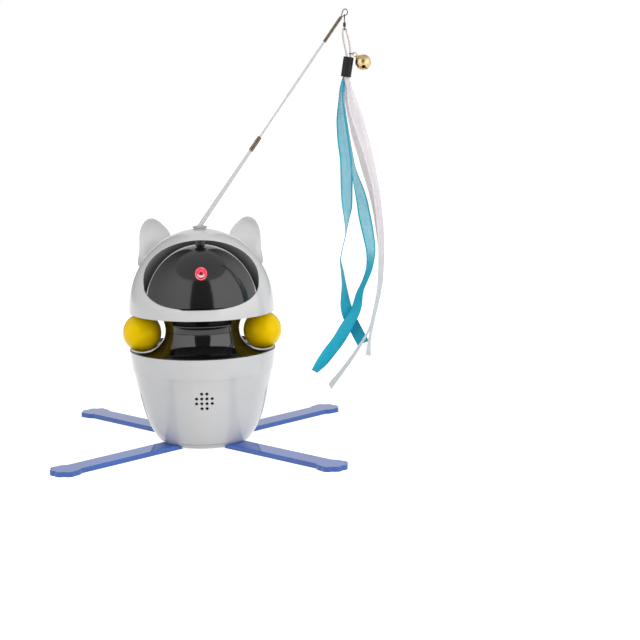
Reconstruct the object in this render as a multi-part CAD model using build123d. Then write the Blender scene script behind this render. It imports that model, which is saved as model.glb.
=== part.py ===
from build123d import *
from math import asin, atan2, cos, degrees, hypot, pi, radians, sin, sqrt, tan
import os

# Automatic cat laser toy: a rounded body on four plug-in legs, a ball track
# round its neck, a domed head with a turning laser turret behind its visor
# opening, and a turning wand with a ribbon lure above.
# Millimetres, +Z up, front towards -Y, origin on the axis at the resting face.

# ---------------------------------------------------------------- dimensions
# Body shell
body_rim_radius = 59.5
body_rim_height = 77.6
body_shoulder_radius = 56.8
body_shoulder_height = 60.0
body_belly_radius = 48.7
body_belly_height = 26.0
body_heel_radius = 39.3
body_heel_height = 6.0
body_foot_radius = 30.5
body_wall = 2.4

# Base plate, closing the body from below
plate_height = 4.6
plate_spigot_height = 2.6
parting_gap = 0.3
floor_thickness = 2.2
floor_hole_radius = 19.0

# Screws that hold the base plate
base_screw_radius = 25.0
screw_shank_radius = 1.4
screw_head_radius = 2.6
screw_head_height = 1.7
screw_head_recess = 0.5
base_screw_length = 9.5
boss_wall = 2.0

# Legs
leg_reach = 156.0
leg_width = 18.2
leg_thickness = 3.8
leg_angle = 42.0
tongue_width = 14.2
tongue_thickness = 2.0
tongue_floor = 1.1
tongue_inner_radius = 13.5
slot_clearance = 0.2
leg_edge = 0.4
paw_radius = 11.9
toe_radius = 4.8
toe_orbit = 8.6
toe_count = 4
toe_spread = 126.0

# Ball track round the neck
track_centre_radius = 48.7
track_centre_height = 93.0
track_radius = 18.3
track_wall = 2.0
track_lip_height = 0.6
track_lip_width = 0.5
rim_ring_width = 0.55
rim_seat_drop = 2.7
neck_spigot_depth = 5.0
neck_spigot_wall = 1.6
neck_spigot_clearance = 0.1
neck_seam_gap = 0.3
neck_groove_rise = 6.0
neck_groove_width = 0.9
neck_groove_depth = 0.7

# Balls
ball_radius = 15.75
ball_wall = 2.0
ball_orbit_radius = 49.0
ball_track_gap = 0.8

# Head shell
head_radius = 59.0
head_lift = 17.3
head_rise = 65.0
head_skirt = 1.9
head_wall = 2.4
visor_half_width = 46.0
visor_lift = 26.7
visor_top_rise = 31.6
visor_bottom_drop = 20.1
chin_squareness = 2.65
liner_wall = 0.9
liner_gap = 0.1

# Ears
# Outline from the outer foot over the tip to the inner foot: (x, rise over the head's centre)
ear_edge = ((50.8, 37.2), (49.5, 48.0), (49.0, 60.0), (46.0, 69.2), (42.5, 72.7), (38.5, 73.7), (31.2, 69.9),
            (24.3, 61.4))
ear_foot_inset = 11.0
ear_foot_drop = 12.0
ear_dish_radius = 34.0
ear_thickness = 5.0
ear_back_y = 11.0

# Head deck
deck_thickness = 2.2
deck_clearance = 0.5
deck_tower_radius = 10.0
deck_tower_top = 123.5
deck_tower_cap = 2.0
head_screw_radius = 52.0
head_screw_length = 9.5
head_screw_angles = (90.0, 210.0, 330.0)
head_screw_head_radius = 2.2
head_screw_head_height = 1.1
head_screw_inset = 0.8
head_boss_height = 7.5

# Small gearmotors: flat-sided can, gearbox and shaft
motor_width = 12.0
motor_depth = 10.0
motor_length = 24.0
motor_shaft_radius = 1.5
motor_clearance = 0.1
motor_screw_spacing = 9.0
motor_screw_radius = 0.7
motor_screw_head_radius = 1.3
motor_screw_head_height = 0.8
motor_screw_depth = 3.0

# Turret gearing
gear_module = 0.8
ring_teeth = 60
pinion_teeth = 15
gear_height = 2.8
gear_floor_gap = 0.6
gear_backlash = 0.14
ring_gear_outer_radius = 28.0
running_clearance = 0.05

# Laser turret
turret_radius = 45.9
turret_sink = 3.3
turret_rise = 52.2
turret_wall = 2.0
turret_skirt_gap = 0.9
turret_plate_thickness = 2.2
turret_plate_clearance = 0.3
hub_tip_gap = 0.2
turret_top_hole_radius = 4.3
turret_screw_radius = 37.0
turret_screw_angles = (30.0, 150.0, 270.0)
turret_screw_length = 6.5
turret_boss_height = 7.0
turret_boss_radius = 3.0
clip_thickness = 0.8
clip_groove_depth = 0.8
clip_width = 2.4

# Laser eye
eye_lift = 33.0
eye_inset = 4.3
eye_radius = 3.7
eye_clearance = 0.3
bezel_wall = 0.7
bezel_stand = 0.4
bezel_clearance = 0.05
socket_wall = 1.6
socket_front = 1.0
socket_back = 3.6
trunnion_radius = 0.8
laser_radius = 1.5
laser_length = 9.0
lens_radius = 1.1
lens_height = 0.5

# Wand
wand_slope = 54.7
cap_radius = 5.8
cap_height = 1.5
cap_gap = 0.5
stem_radius = 3.5
bushing_radius = 4.6
bushing_flange_radius = 6.2
bushing_flange_height = 1.4
tube_socket_depth = 3.0
tube_root_radius = 1.9
tube_end_radius = 1.35
tube_length = 78.0
tube_bore_radius = 1.0
tube_bore_start = 12.0
ferrule_radius = 1.9
ferrule_start = 73.4
ferrule_end = 86.7
rod_radius = 0.9
rod_start = 40.0
tip_sleeve_start = 178.2
tip_sleeve_end = 201.8
tip_sleeve_radius = 1.35
rod_insertion = 11.8
loop_distance = 206.6
loop_ring_radius = 2.6
loop_wire_radius = 0.38

# Swivel and lure
swivel_eye_ring_radius = 2.0
swivel_neck = 2.4
swivel_wire_radius = 0.3
swivel_wire_gap = 0.15
swivel_barrel_radius = 1.2
swivel_barrel_height = 3.4
swivel_pin_radius = 0.4
swivel_pin_length = 2.4
hook_ring_radius = 1.3
elastic_radius = 0.8
sleeve_radius = 4.1
sleeve_bore_radius = 3.3
sleeve_length = 16.0
sleeve_tilt = 9.0
sleeve_top_x = 122.5
sleeve_top_height = 310.6
bundle_recess = 1.5
ribbon_width = 10.0
ribbon_thickness = 0.35
ribbon_neck_width = 4.0
ribbon_spacing = 1.2

# Bell
bell_radius = 6.3
bell_wall = 0.5
bell_slot_width = 1.1
bell_hole_radius = 1.7
bell_hole_angle = 68.0
bell_turn = 64.0
bell_shoulder_radius = 2.7
bell_ring_radius = 2.1
bell_wire_radius = 0.35
bell_eye_radius = 1.6
bell_drop_angle = 44.2
bell_distance = 10.0
pellet_radius = 1.6

# Speaker
speaker_radius = 13.5
speaker_depth = 6.0
speaker_height = 43.6
speaker_face_y = 47.0
speaker_ring_wall = 1.6
speaker_hole_radius = 1.25
speaker_hole_pitch = 4.1

# Electronics
board_half_width = 22.0
board_front_y = 34.0
board_back_y = 41.5
board_height = 32.0
board_thickness = 1.6
post_radius = 2.6
post_x = 17.0
post_front_y = 24.0
post_back_y = 34.0
board_screw_head_radius = 2.2
board_screw_length = 7.0
cell_radius = 9.2
cell_length = 65.0
cell_y = 9.0
holder_wall = 1.4
holder_height = 7.0
usb_x = 11.0
usb_width = 9.0
usb_height = 3.2
usb_length = 9.0
usb_wall = 0.4
usb_recess = 0.8
button_x = 11.0
button_radius = 4.0
button_flange_radius = 4.6
button_proud = 1.0
button_travel = 1.0
button_clearance = 0.2
switch_size = 6.0


# ------------------------------------------------------------------- helpers
def lathe(outline):
    """Turn a closed outline of (radius, height) about the vertical axis."""
    return revolve(Plane.XZ * make_face(outline), axis=Axis.Z)


def disc(radius, low, high, x=0.0, y=0.0):
    """Upright cylinder between two heights."""
    return Pos(x, y, (low + high) / 2) * Cylinder(radius, high - low)


def ring(outer, inner, low, high, x=0.0, y=0.0):
    """Upright tube between two heights."""
    return disc(outer, low, high, x, y) - disc(inner, low - 1, high + 1, x, y)


def rod_y(radius, front, back, x, z):
    """Cylinder along Y between two places."""
    return Pos(x, (front + back) / 2, z) * Rot(90, 0, 0) * Cylinder(radius, abs(back - front))


def rod_x(radius, left, right, y, z):
    """Cylinder along X between two places."""
    return Pos((left + right) / 2, y, z) * Rot(0, 90, 0) * Cylinder(radius, abs(right - left))


def block(x_low, x_high, y_low, y_high, z_low, z_high):
    """Box between two corners."""
    centre = Pos((x_low + x_high) / 2, (y_low + y_high) / 2, (z_low + z_high) / 2)
    return centre * Box(x_high - x_low, y_high - y_low, z_high - z_low)


def polar(radius, angle):
    """X and Y of a place at a radius and an angle in degrees."""
    return radius * cos(radians(angle)), radius * sin(radians(angle))


def dome(radius, rise, centre_height, floor):
    """Half ellipsoid with a straight skirt down to its floor."""
    arc = EllipticalCenterArc((0, centre_height), radius, rise, start_angle=0, arc_size=90)
    cap = Edge(arc.wrapped).to_splines()
    sides = Polyline((0, centre_height + rise), (0, floor), (radius, floor), (radius, centre_height))
    return lathe(Curve(children=[cap]) + sides)


def save(node, *solids):
    """Write one node; several solids go in as one group."""
    pieces = [solid for shape in solids for solid in shape.solids()]
    shape = pieces[0] if len(pieces) == 1 else Compound(children=pieces)
    export_step(shape, f"parts/{node}.step")


# ------------------------------------------------------------ derived places
plate_top = plate_height
floor_low = plate_top + plate_spigot_height
floor_top = floor_low + floor_thickness
ball_height = track_centre_height - track_radius + ball_track_gap + ball_radius
rim_seat_height = body_rim_height - rim_seat_drop
rim_ring_radius = body_rim_radius - rim_ring_width
upper_flat = track_centre_height + track_radius + track_wall
deck_top = upper_flat + deck_thickness
head_centre_height = track_centre_height + head_lift
head_rim_height = head_centre_height - head_skirt
visor_centre_height = head_centre_height + visor_lift
head_inner_radius = head_radius - head_wall
head_screw_seat = upper_flat - head_screw_inset
head_screw_end = head_screw_seat - head_screw_head_height + head_screw_length
gear_low = deck_top + gear_floor_gap
gear_top = gear_low + gear_height
turret_plate_top = gear_top + turret_plate_thickness
turret_skirt_low = deck_top + turret_skirt_gap
turret_centre_height = upper_flat - turret_sink
eye_height = turret_centre_height + eye_lift
eye_depth = turret_radius * sqrt(1 - (eye_lift / turret_rise) ** 2) - eye_inset
socket_front_y = eye_depth + socket_front
socket_back_y = eye_depth - socket_back
turret_inner_radius = turret_radius - turret_wall
turret_inner_rise = turret_rise - turret_wall
ring_pitch_radius = gear_module * ring_teeth / 2
pinion_pitch_radius = gear_module * pinion_teeth / 2
pinion_y = ring_pitch_radius - pinion_pitch_radius
head_top = head_centre_height + head_rise
cap_low = head_top + cap_gap
cap_top = cap_low + cap_height
motor_top = deck_tower_top - deck_tower_cap
tongue_outer_radius = body_heel_radius - 1.0


# ---------------------------------------------------------------- body shell
def body_side(offset=0.0):
    """Side of the body from foot to rim, set inwards by an offset."""
    side = Spline(
        (body_foot_radius, 0),
        (body_heel_radius, body_heel_height),
        (body_belly_radius, body_belly_height),
        (body_shoulder_radius, body_shoulder_height),
        (body_rim_radius, body_rim_height),
        tangents=((1, 0.15), (0.12, 1)),
    )
    if offset == 0:
        return side
    stations = [0, 0.02, 0.04, 0.07, 0.1, 0.14, 0.2, 0.3, 0.45, 0.6, 0.8, 1]
    shifted = []
    for station in stations:
        place, along = side @ station, side % station
        shifted.append((place.X - along.Y * offset, place.Y + along.X * offset))
    return Spline(*shifted)


def body_solid(offset=0.0):
    """Solid of revolution inside the body's side."""
    side = body_side(offset)
    foot, rim = side @ 0, side @ 1
    rest = Polyline((rim.X, rim.Y), (rim.X, rim.Y + 5), (0, rim.Y + 5), (0, foot.Y), (foot.X, foot.Y))
    return lathe(side + rest)


def speaker_holes():
    """Rows of two, four, four and two round sound holes."""
    holes = []
    for row, count in ((1.5, 2), (0.5, 4), (-0.5, 4), (-1.5, 2)):
        for column in range(count):
            x = (column - (count - 1) / 2) * speaker_hole_pitch
            z = speaker_height + row * speaker_hole_pitch
            holes.append(rod_y(speaker_hole_radius, -body_rim_radius, -speaker_face_y + 1, x, z))
    return holes


def board_posts():
    """Places of the four posts under the circuit board."""
    return [(sign * post_x, y) for sign in (-1, 1) for y in (-post_front_y, post_back_y)]


def base_screw_places():
    return [polar(base_screw_radius, angle) for angle in (0, 90, 180, 270)]


body_outer = body_solid() & disc(body_rim_radius + 5, 0, body_rim_height)
body_inner = body_solid(body_wall)
usb_z = board_height + board_thickness + usb_height / 2
button_z = board_height + board_thickness + switch_size / 2
usb_face_y = sqrt(body_belly_radius ** 2 - usb_x ** 2) + usb_recess + 1.9
wall_y_at_button = sqrt((body_belly_radius + 2.4) ** 2 - button_x ** 2)


def make_body_shell():
    above = disc(body_rim_radius + 5, floor_low, body_rim_height + 10)
    hollow = body_inner & disc(body_rim_radius + 5, floor_top, body_rim_height + 10)
    shell = body_outer & disc(body_rim_radius + 5, plate_top + parting_gap, body_rim_height)
    shell -= hollow
    spigot_hole = body_inner & disc(body_rim_radius, 0, floor_low)
    shell -= spigot_hole
    shell -= disc(floor_hole_radius, 0, floor_top + 1)
    shell -= disc(rim_ring_radius, rim_seat_height, body_rim_height + 1)
    dish = Pos(0, 0, track_centre_height) * Torus(track_centre_radius, track_radius + track_wall + 0.05)
    shell -= dish & disc(rim_ring_radius, body_shoulder_height, body_rim_height + 1)
    inside = body_inner & above
    for x, y in board_posts():
        shell += disc(post_radius, floor_low, board_height, x, y)
    for x, y in base_screw_places():
        shell += disc(screw_shank_radius + boss_wall, floor_low, base_screw_length + 2.5, x, y)
    sleeve = rod_y(speaker_radius + speaker_ring_wall, -body_rim_radius, -speaker_face_y + speaker_depth / 2, 0,
                   speaker_height) & body_outer
    shell += sleeve
    shell -= rod_y(speaker_radius + button_clearance / 2, -speaker_face_y, 0, 0, speaker_height) & inside
    for hole in speaker_holes():
        shell -= hole
    for x, y in board_posts():
        shell -= disc(screw_shank_radius - 0.3, board_height - board_screw_length, board_height + 1, x, y)
    for x, y in base_screw_places():
        shell -= disc(screw_shank_radius, 0, screw_head_recess + base_screw_length + 0.2, x, y)
    port = Pos(-usb_x, body_belly_radius, usb_z) * Box(usb_width + 0.6, 16, usb_height + 0.6)
    shell -= fillet(port.edges().filter_by(Axis.Y), (usb_height + 0.6) / 2 - 0.05)
    shell -= rod_y(button_radius + button_clearance, 40, 60, button_x, button_z)
    return shell


def leg_slot(angle):
    """Pocket for a leg's tongue, open at the plate's side."""
    half = tongue_width / 2 + slot_clearance
    pocket = block(tongue_inner_radius - slot_clearance, body_rim_radius, -half, half,
                   tongue_floor - slot_clearance, tongue_floor + tongue_thickness + slot_clearance)
    return Rot(0, 0, angle) * pocket


def make_base_plate():
    plate = body_outer & disc(body_rim_radius, 0, plate_top)
    spigot = body_solid(body_wall + slot_clearance) & disc(body_rim_radius, plate_top, floor_low)
    plate += spigot
    for x, y in base_screw_places():
        plate -= disc(screw_shank_radius + 0.1, -1, floor_low + 1, x, y)
        plate -= disc(screw_head_radius + 0.2, -1, screw_head_recess + screw_head_height, x, y)
    for quarter in range(4):
        plate -= leg_slot(leg_angle + 90 * quarter)
    return plate


def make_base_screws():
    screws = []
    for x, y in base_screw_places():
        screw = disc(screw_head_radius, screw_head_recess, screw_head_recess + screw_head_height, x, y)
        screw += disc(screw_shank_radius - 0.02, screw_head_recess + 0.5, screw_head_recess + base_screw_length, x, y)
        cross = Box(2.6, 0.6, 1.6) + Box(0.6, 2.6, 1.6)
        screw -= Pos(x, y, screw_head_recess) * cross
        screws.append(screw)
    return screws


# ---------------------------------------------------------------------- legs
def paw_outline():
    """Flat outline of a leg: a bar that ends in a palm with its toes."""
    palm_x = leg_reach - toe_radius - toe_orbit
    outline = Pos(palm_x / 2, 0) * Rectangle(palm_x, leg_width)
    outline += Pos(palm_x, 0) * Circle(paw_radius)
    for toe in range(toe_count):
        turn = (toe - (toe_count - 1) / 2) * toe_spread / (toe_count - 1)
        x, y = polar(toe_orbit, turn)
        outline += Pos(palm_x + x, y) * Circle(toe_radius)
    return outline


def make_leg(angle):
    blade = extrude(paw_outline(), leg_thickness)
    blade = chamfer(blade.faces().sort_by(Axis.Z)[-1].edges(), leg_edge)
    keep_out = body_solid(-parting_gap) & disc(body_rim_radius, -1, leg_thickness + 1)
    keep_out += disc(body_foot_radius + 4, -1, 1.2) + disc(body_foot_radius + 3, 1, leg_thickness + 1)
    blade -= keep_out
    tongue = block(tongue_inner_radius, tongue_outer_radius + 3, -tongue_width / 2, tongue_width / 2,
                   tongue_floor, tongue_floor + tongue_thickness)
    return Rot(0, 0, angle) * (blade + tongue)


# --------------------------------------------------------------- ball track
def groove_height(radius, section_radius):
    """Half height of the track's round section at a radius."""
    return sqrt(section_radius ** 2 - (radius - track_centre_radius) ** 2)


def waist_corner(section_radius, side):
    """Where a section circle meets the neck seam, above or below it."""
    offset = neck_seam_gap / 2
    return (track_centre_radius - sqrt(section_radius ** 2 - offset ** 2), track_centre_height + side * offset)


def section_arc(start, end, section_radius, middle_angle):
    middle = (track_centre_radius + section_radius * cos(radians(middle_angle)),
              track_centre_height + section_radius * sin(radians(middle_angle)))
    return ThreePointArc(start, middle, end)


def make_track_lower():
    edge_radius = rim_ring_radius - 0.05
    lip_radius = edge_radius - track_lip_width
    lip_inner = (lip_radius, track_centre_height - groove_height(lip_radius, track_radius))
    lip_top = body_rim_height + track_lip_height
    outer_section = track_radius + track_wall
    seat_radius = track_centre_radius + sqrt(outer_section ** 2 - (track_centre_height - rim_seat_height) ** 2)
    seat = (seat_radius, rim_seat_height)
    inner = section_arc(waist_corner(track_radius, -1), lip_inner, track_radius, -90)
    side = Polyline(lip_inner, (lip_radius, lip_top - 0.2), (lip_radius + 0.2, lip_top),
                    (edge_radius - 0.2, lip_top), (edge_radius, lip_top - 0.2),
                    (edge_radius, rim_seat_height), seat)
    outer = section_arc(seat, waist_corner(outer_section, -1), outer_section, -90)
    close = Line(waist_corner(outer_section, -1), waist_corner(track_radius, -1))
    return lathe(inner + side + outer + close)


def make_track_upper():
    edge_radius = head_inner_radius - deck_clearance
    outer_section = track_radius + track_wall
    edge = (edge_radius, track_centre_height + groove_height(edge_radius, track_radius))
    inner = section_arc(waist_corner(track_radius, 1), edge, track_radius, 100)
    top = Polyline(edge, (edge_radius, upper_flat), (track_centre_radius, upper_flat))
    outer = section_arc((track_centre_radius, upper_flat), waist_corner(outer_section, 1), outer_section, 135)
    close = Line(waist_corner(outer_section, 1), waist_corner(track_radius, 1))
    upper = lathe(inner + top + outer + close)
    spigot_outer = track_centre_radius - outer_section - neck_spigot_clearance
    seam = track_centre_height + neck_seam_gap / 2
    spigot = ring(spigot_outer, spigot_outer - neck_spigot_wall, seam - neck_spigot_depth, seam + 2.0)
    collar = ring(spigot_outer + 1.0, spigot_outer - neck_spigot_wall, seam, seam + 2.0)
    upper += spigot + collar
    groove_z = track_centre_height + neck_groove_rise
    waist = track_centre_radius - sqrt(track_radius ** 2 - neck_groove_rise ** 2)
    upper -= ring(waist + 2, waist - neck_groove_depth, groove_z - neck_groove_width / 2,
                  groove_z + neck_groove_width / 2)
    for angle in head_screw_angles:
        x, y = polar(head_screw_radius, angle)
        upper -= disc(screw_shank_radius + 0.1, upper_flat - 4, upper_flat + 1, x, y)
        upper -= disc(head_screw_head_radius + 0.2, upper_flat - 6, head_screw_seat, x, y)
    return upper


def make_ball(side):
    centre = Pos(side * ball_orbit_radius, 0, ball_height)
    return centre * (Sphere(ball_radius) - Sphere(ball_radius - ball_wall))


# ---------------------------------------------------------------------- head
def visor_outline():
    """Front view of the visor opening: a half ellipse over a flatter chin."""
    top = EllipticalCenterArc((0, visor_centre_height), visor_half_width, visor_top_rise,
                              start_angle=0, arc_size=180)
    places = []
    for step in range(-6, 1):
        lean, drop = sin(radians(15 * step)), cos(radians(15 * step))
        x = visor_half_width * abs(lean) ** (2 / chin_squareness)
        z = visor_centre_height - visor_bottom_drop * abs(drop) ** (2 / chin_squareness)
        places.append((-x, z))
    places[0] = (-visor_half_width, visor_centre_height)
    chin_left = Spline(*places, tangents=((0, -1), (1, 0)))
    chin_right = Spline(*[(-x, z) for x, z in reversed(places)], tangents=((1, 0), (0, 1)))
    return make_face(Plane.XZ * (top + chin_left + chin_right))


def visor_cutter():
    return extrude(visor_outline(), head_radius + 10, dir=(0, -1, 0))


def make_ear(side):
    """Leaf-shaped ear: a dished blade cut to its outline."""
    edge = [(x, head_centre_height + rise) for x, rise in ear_edge]
    outline = Spline(*edge, tangents=((0, 1), (-0.55, -1)))
    (outer_x, outer_z), (inner_x, inner_z) = edge[0], edge[-1]
    tip_x, tip_z = max(edge, key=lambda place: place[1])
    foot = Polyline((inner_x, inner_z), (inner_x - ear_foot_inset / 4, inner_z - ear_foot_drop),
                    (outer_x - ear_foot_inset, outer_z - ear_foot_drop), (outer_x, outer_z))
    blade = extrude(Plane.XZ * make_face(outline + foot), head_radius, both=True)
    middle_x = (tip_x + outer_x + inner_x) / 3 + 1
    middle_z = (tip_z + outer_z) / 2
    dish = Pos(middle_x, ear_back_y - ear_dish_radius, middle_z)
    cup = dish * Sphere(ear_dish_radius) - dish * Sphere(ear_dish_radius - ear_thickness)
    ear = blade & cup & block(0, 2 * head_radius, ear_back_y - 0.7 * ear_dish_radius, ear_back_y + 5,
                              upper_flat, head_top + head_radius)
    return ear if side > 0 else mirror(ear, Plane.YZ)


head_outer = dome(head_radius, head_rise, head_centre_height, head_rim_height)
head_inner = dome(head_inner_radius, head_rise - head_wall, head_centre_height, head_rim_height - 1)


def head_bosses(grow, low, high):
    """Screw posts that run out into the head's wall."""
    bosses = []
    for angle in head_screw_angles:
        x, y = polar(head_screw_radius, angle)
        half = screw_shank_radius + boss_wall + grow
        web = Rot(0, 0, angle) * block(head_screw_radius, head_radius - head_wall / 2, -half, half, low, high)
        bosses.append(disc(half, low, high, x, y) + web)
    return bosses


def make_head_shell():
    shell = head_outer
    for side in (-1, 1):
        shell += make_ear(side)
    shell -= head_inner
    shell -= visor_cutter()
    for boss in head_bosses(0, deck_top, deck_top + head_boss_height):
        shell += boss & head_outer
    for angle in head_screw_angles:
        x, y = polar(head_screw_radius, angle)
        shell -= disc(screw_shank_radius, deck_top - 1, head_screw_end + 0.2, x, y)
    shell -= disc(bushing_radius + 0.05, head_top - 10, head_top + 5)
    return shell


def make_head_liner():
    outer = dome(head_inner_radius - liner_gap, head_rise - head_wall - liner_gap, head_centre_height, deck_top + 0.3)
    inner = dome(head_inner_radius - liner_gap - liner_wall, head_rise - head_wall - liner_gap - liner_wall,
                 head_centre_height, deck_top - 1)
    floor = disc(head_radius, deck_top + 0.3, head_top)
    liner = (outer & floor) - inner - visor_cutter()
    for boss in head_bosses(0.3, deck_top, deck_top + head_boss_height + 0.3):
        liner -= boss
    liner -= disc(bushing_flange_radius + 1.5, head_top - 12, head_top + 5)
    return liner


def motor_pocket(low, high, grow):
    """Flat-sided round can that a gearmotor's body fills."""
    body = disc(motor_width / 2 + grow, low, high)
    half = motor_depth / 2 + grow
    return body & block(-motor_width, motor_width, -half, half, low, high)


def make_head_deck():
    deck = disc(head_inner_radius - deck_clearance, upper_flat, deck_top)
    deck += disc(deck_tower_radius, upper_flat, deck_tower_top)
    deck -= motor_pocket(upper_flat - 1, motor_top, motor_clearance)
    deck -= disc(motor_shaft_radius + 0.4, motor_top - 1, deck_tower_top + 1)
    groove = ring(deck_tower_radius + 1, deck_tower_radius - clip_groove_depth,
                  turret_plate_top + 0.15, turret_plate_top + 0.25 + clip_thickness)
    deck -= groove
    deck -= disc(motor_shaft_radius + 0.4, upper_flat - 1, deck_top + 1, 0, pinion_y)
    for sign in (-1, 1):
        x = sign * motor_screw_spacing / 2
        deck -= disc(motor_screw_radius + 0.1, motor_top - 1, deck_tower_top + 1, x, 0)
        deck -= disc(motor_screw_head_radius + 0.15, deck_tower_top - 0.9, deck_tower_top + 1, x, 0)
        deck -= disc(motor_screw_radius + 0.1, upper_flat - 1, deck_top + 1, x, pinion_y)
        deck -= disc(motor_screw_head_radius + 0.15, deck_top - 0.9, deck_top + 1, x, pinion_y)
    for angle in head_screw_angles:
        x, y = polar(head_screw_radius, angle)
        deck -= disc(screw_shank_radius + 0.1, upper_flat - 1, deck_top + 1, x, y)
    for angle in (225, 315):
        x, y = polar(20, angle)
        deck -= disc(2.5, upper_flat - 1, deck_top + 1, x, y)
    return deck


def make_head_screws():
    screws = []
    low = head_screw_seat - head_screw_head_height
    for angle in head_screw_angles:
        x, y = polar(head_screw_radius, angle)
        screw = disc(head_screw_head_radius, low, head_screw_seat, x, y)
        screw += disc(screw_shank_radius - 0.02, low + 0.5, low + head_screw_length, x, y)
        screw -= Pos(x, y, low) * (Box(2.2, 0.5, 1.2) + Box(0.5, 2.2, 1.2))
        screws.append(screw)
    return screws


def make_gearmotor(top, y, shaft_top):
    """Gearbox and can hanging below a top face, with the shaft standing up."""
    gearbox_length = 9.0
    motor = motor_pocket(top - gearbox_length, top, 0)
    can = motor_pocket(top - motor_length + 1.0, top - gearbox_length, -0.4)
    motor += can + disc(2.2, top - motor_length, top - motor_length + 1.0)
    motor += disc(motor_shaft_radius, top - 1, shaft_top)
    for sign in (-1, 1):
        x = sign * motor_screw_spacing / 2
        motor -= disc(motor_screw_radius, top - motor_screw_depth, top + 0.5, x, 0)
        motor += Pos(x / 1.5, 0, top - motor_length) * Box(0.6, 2.4, 2.4)
    return Pos(0, y, 0) * motor


def make_motor_screws():
    screws = []
    for top, plate, y in ((motor_top, deck_tower_top, 0), (upper_flat, deck_top, pinion_y)):
        for sign in (-1, 1):
            x = sign * motor_screw_spacing / 2
            screw = disc(motor_screw_head_radius, plate - 0.9, plate - 0.9 + motor_screw_head_height, x, y)
            screw += disc(motor_screw_radius - 0.02, top - motor_screw_depth + 0.3, plate - 0.5, x, y)
            screw -= Pos(x, y, plate - 0.1) * Box(2.0, 0.4, 0.7)
            screws.append(screw)
    return screws


# -------------------------------------------------------------------- turret
def tooth_points(teeth, addendum, dedendum, backlash):
    """Corners of a spur gear with a tooth centred on +Y."""
    pitch = gear_module * teeth / 2
    base = pitch * cos(radians(20))
    involute_at = lambda radius: tan(radians(degrees(0))) + (
        sqrt((radius / base) ** 2 - 1) - atan2(sqrt((radius / base) ** 2 - 1), 1) if radius > base else 0.0)
    half_pitch_angle = pi / (2 * teeth) - backlash / (2 * pitch)
    radii = [pitch - dedendum, max(base, pitch - dedendum * 0.6), pitch, pitch + addendum * 0.6, pitch + addendum]
    flank = [(radius, half_pitch_angle + involute_at(pitch) - involute_at(radius)) for radius in radii]
    points = []
    for tooth in range(teeth):
        middle = pi / 2 + 2 * pi * tooth / teeth
        points += [(radius * cos(middle - half), radius * sin(middle - half)) for radius, half in flank]
        points += [(radius * cos(middle + half), radius * sin(middle + half)) for radius, half in reversed(flank)]
    return points


def gear_solid(teeth, addendum, dedendum, backlash, low, high):
    points = tooth_points(teeth, addendum, dedendum, backlash)
    face = make_face(Polyline(*points, close=True))
    return Pos(0, 0, low) * extrude(face, high - low)


def make_turret_gear():
    blank = disc(ring_gear_outer_radius, gear_low, gear_top)
    teeth_space = gear_solid(ring_teeth, gear_module * 1.15, gear_module * 0.85, -gear_backlash,
                             gear_low - 1, gear_top + 1)
    return blank - teeth_space


def make_turret_pinion():
    gear = gear_solid(pinion_teeth, gear_module * 0.85, gear_module * 1.15, gear_backlash, gear_low, gear_top - 0.3)
    gear -= disc(motor_shaft_radius + running_clearance, gear_low - 1, gear_top + 1)
    return Pos(0, pinion_y, 0) * gear


def make_turret_plate():
    outer = turret_inner_radius * sqrt(1 - ((turret_plate_top - turret_centre_height) / turret_inner_rise) ** 2)
    plate = disc(outer - turret_plate_clearance, gear_top, turret_plate_top)
    hub_radius = pinion_y - pinion_pitch_radius - gear_module - hub_tip_gap
    plate += disc(hub_radius, gear_low, gear_top)
    plate -= disc(deck_tower_radius + running_clearance, gear_low - 1, turret_plate_top + 1)
    for angle in turret_screw_angles:
        x, y = polar(turret_screw_radius, angle)
        plate -= disc(screw_shank_radius - 0.3, gear_top - 1, turret_plate_top + 1, x, y)
    post = block(-3, 3, -socket_front_y + 1.2, -socket_back_y, turret_plate_top, eye_height - eye_radius)
    return plate + (post - rod_y(eye_radius + eye_clearance + socket_wall, -turret_radius, 0, 0, eye_height))


def turret_space(shrink):
    """Inside of the turret's egg, set inwards from its outer face."""
    return dome(turret_radius - shrink, turret_rise - shrink, turret_centre_height, upper_flat - track_radius)


def make_turret_shell():
    shell = turret_space(0) - turret_space(turret_wall)
    shell = shell & disc(head_radius, turret_skirt_low, head_top)
    inside = turret_space(turret_wall / 2)
    for angle in turret_screw_angles:
        x, y = polar(turret_screw_radius, angle)
        high = turret_plate_top + turret_boss_height
        boss = disc(turret_boss_radius, turret_plate_top, high, x, y)
        web = block(turret_screw_radius, turret_radius, -1.5, 1.5, turret_plate_top, high)
        shell += (boss + Rot(0, 0, angle) * web) & inside
        shell -= disc(screw_shank_radius - 0.4, turret_plate_top - 1, turret_plate_top + turret_screw_length, x, y)
    shell -= disc(turret_top_hole_radius, head_top - 25, head_top)
    hole = eye_radius + eye_clearance + bezel_wall + bezel_clearance
    shell -= rod_y(hole, -turret_radius - 5, -eye_depth + 6, 0, eye_height)
    return shell


def make_turret_screws():
    screws = []
    for angle in turret_screw_angles:
        x, y = polar(turret_screw_radius, angle)
        screw = disc(1.9, gear_top - 1.2, gear_top, x, y)
        screw += disc(screw_shank_radius - 0.42, gear_top - 0.5, turret_plate_top + turret_screw_length - 1.5, x, y)
        screw -= Pos(x, y, gear_top - 1.2) * (Box(1.8, 0.4, 1.0) + Box(0.4, 1.8, 1.0))
        screws.append(screw)
    return screws


def make_turret_clip():
    low = turret_plate_top + 0.2
    clip = ring(deck_tower_radius - clip_groove_depth + clip_width, deck_tower_radius - clip_groove_depth + 0.05,
                low, low + clip_thickness)
    return clip - block(-2.5, 2.5, 0, 20, low - 1, low + 3)


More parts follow.
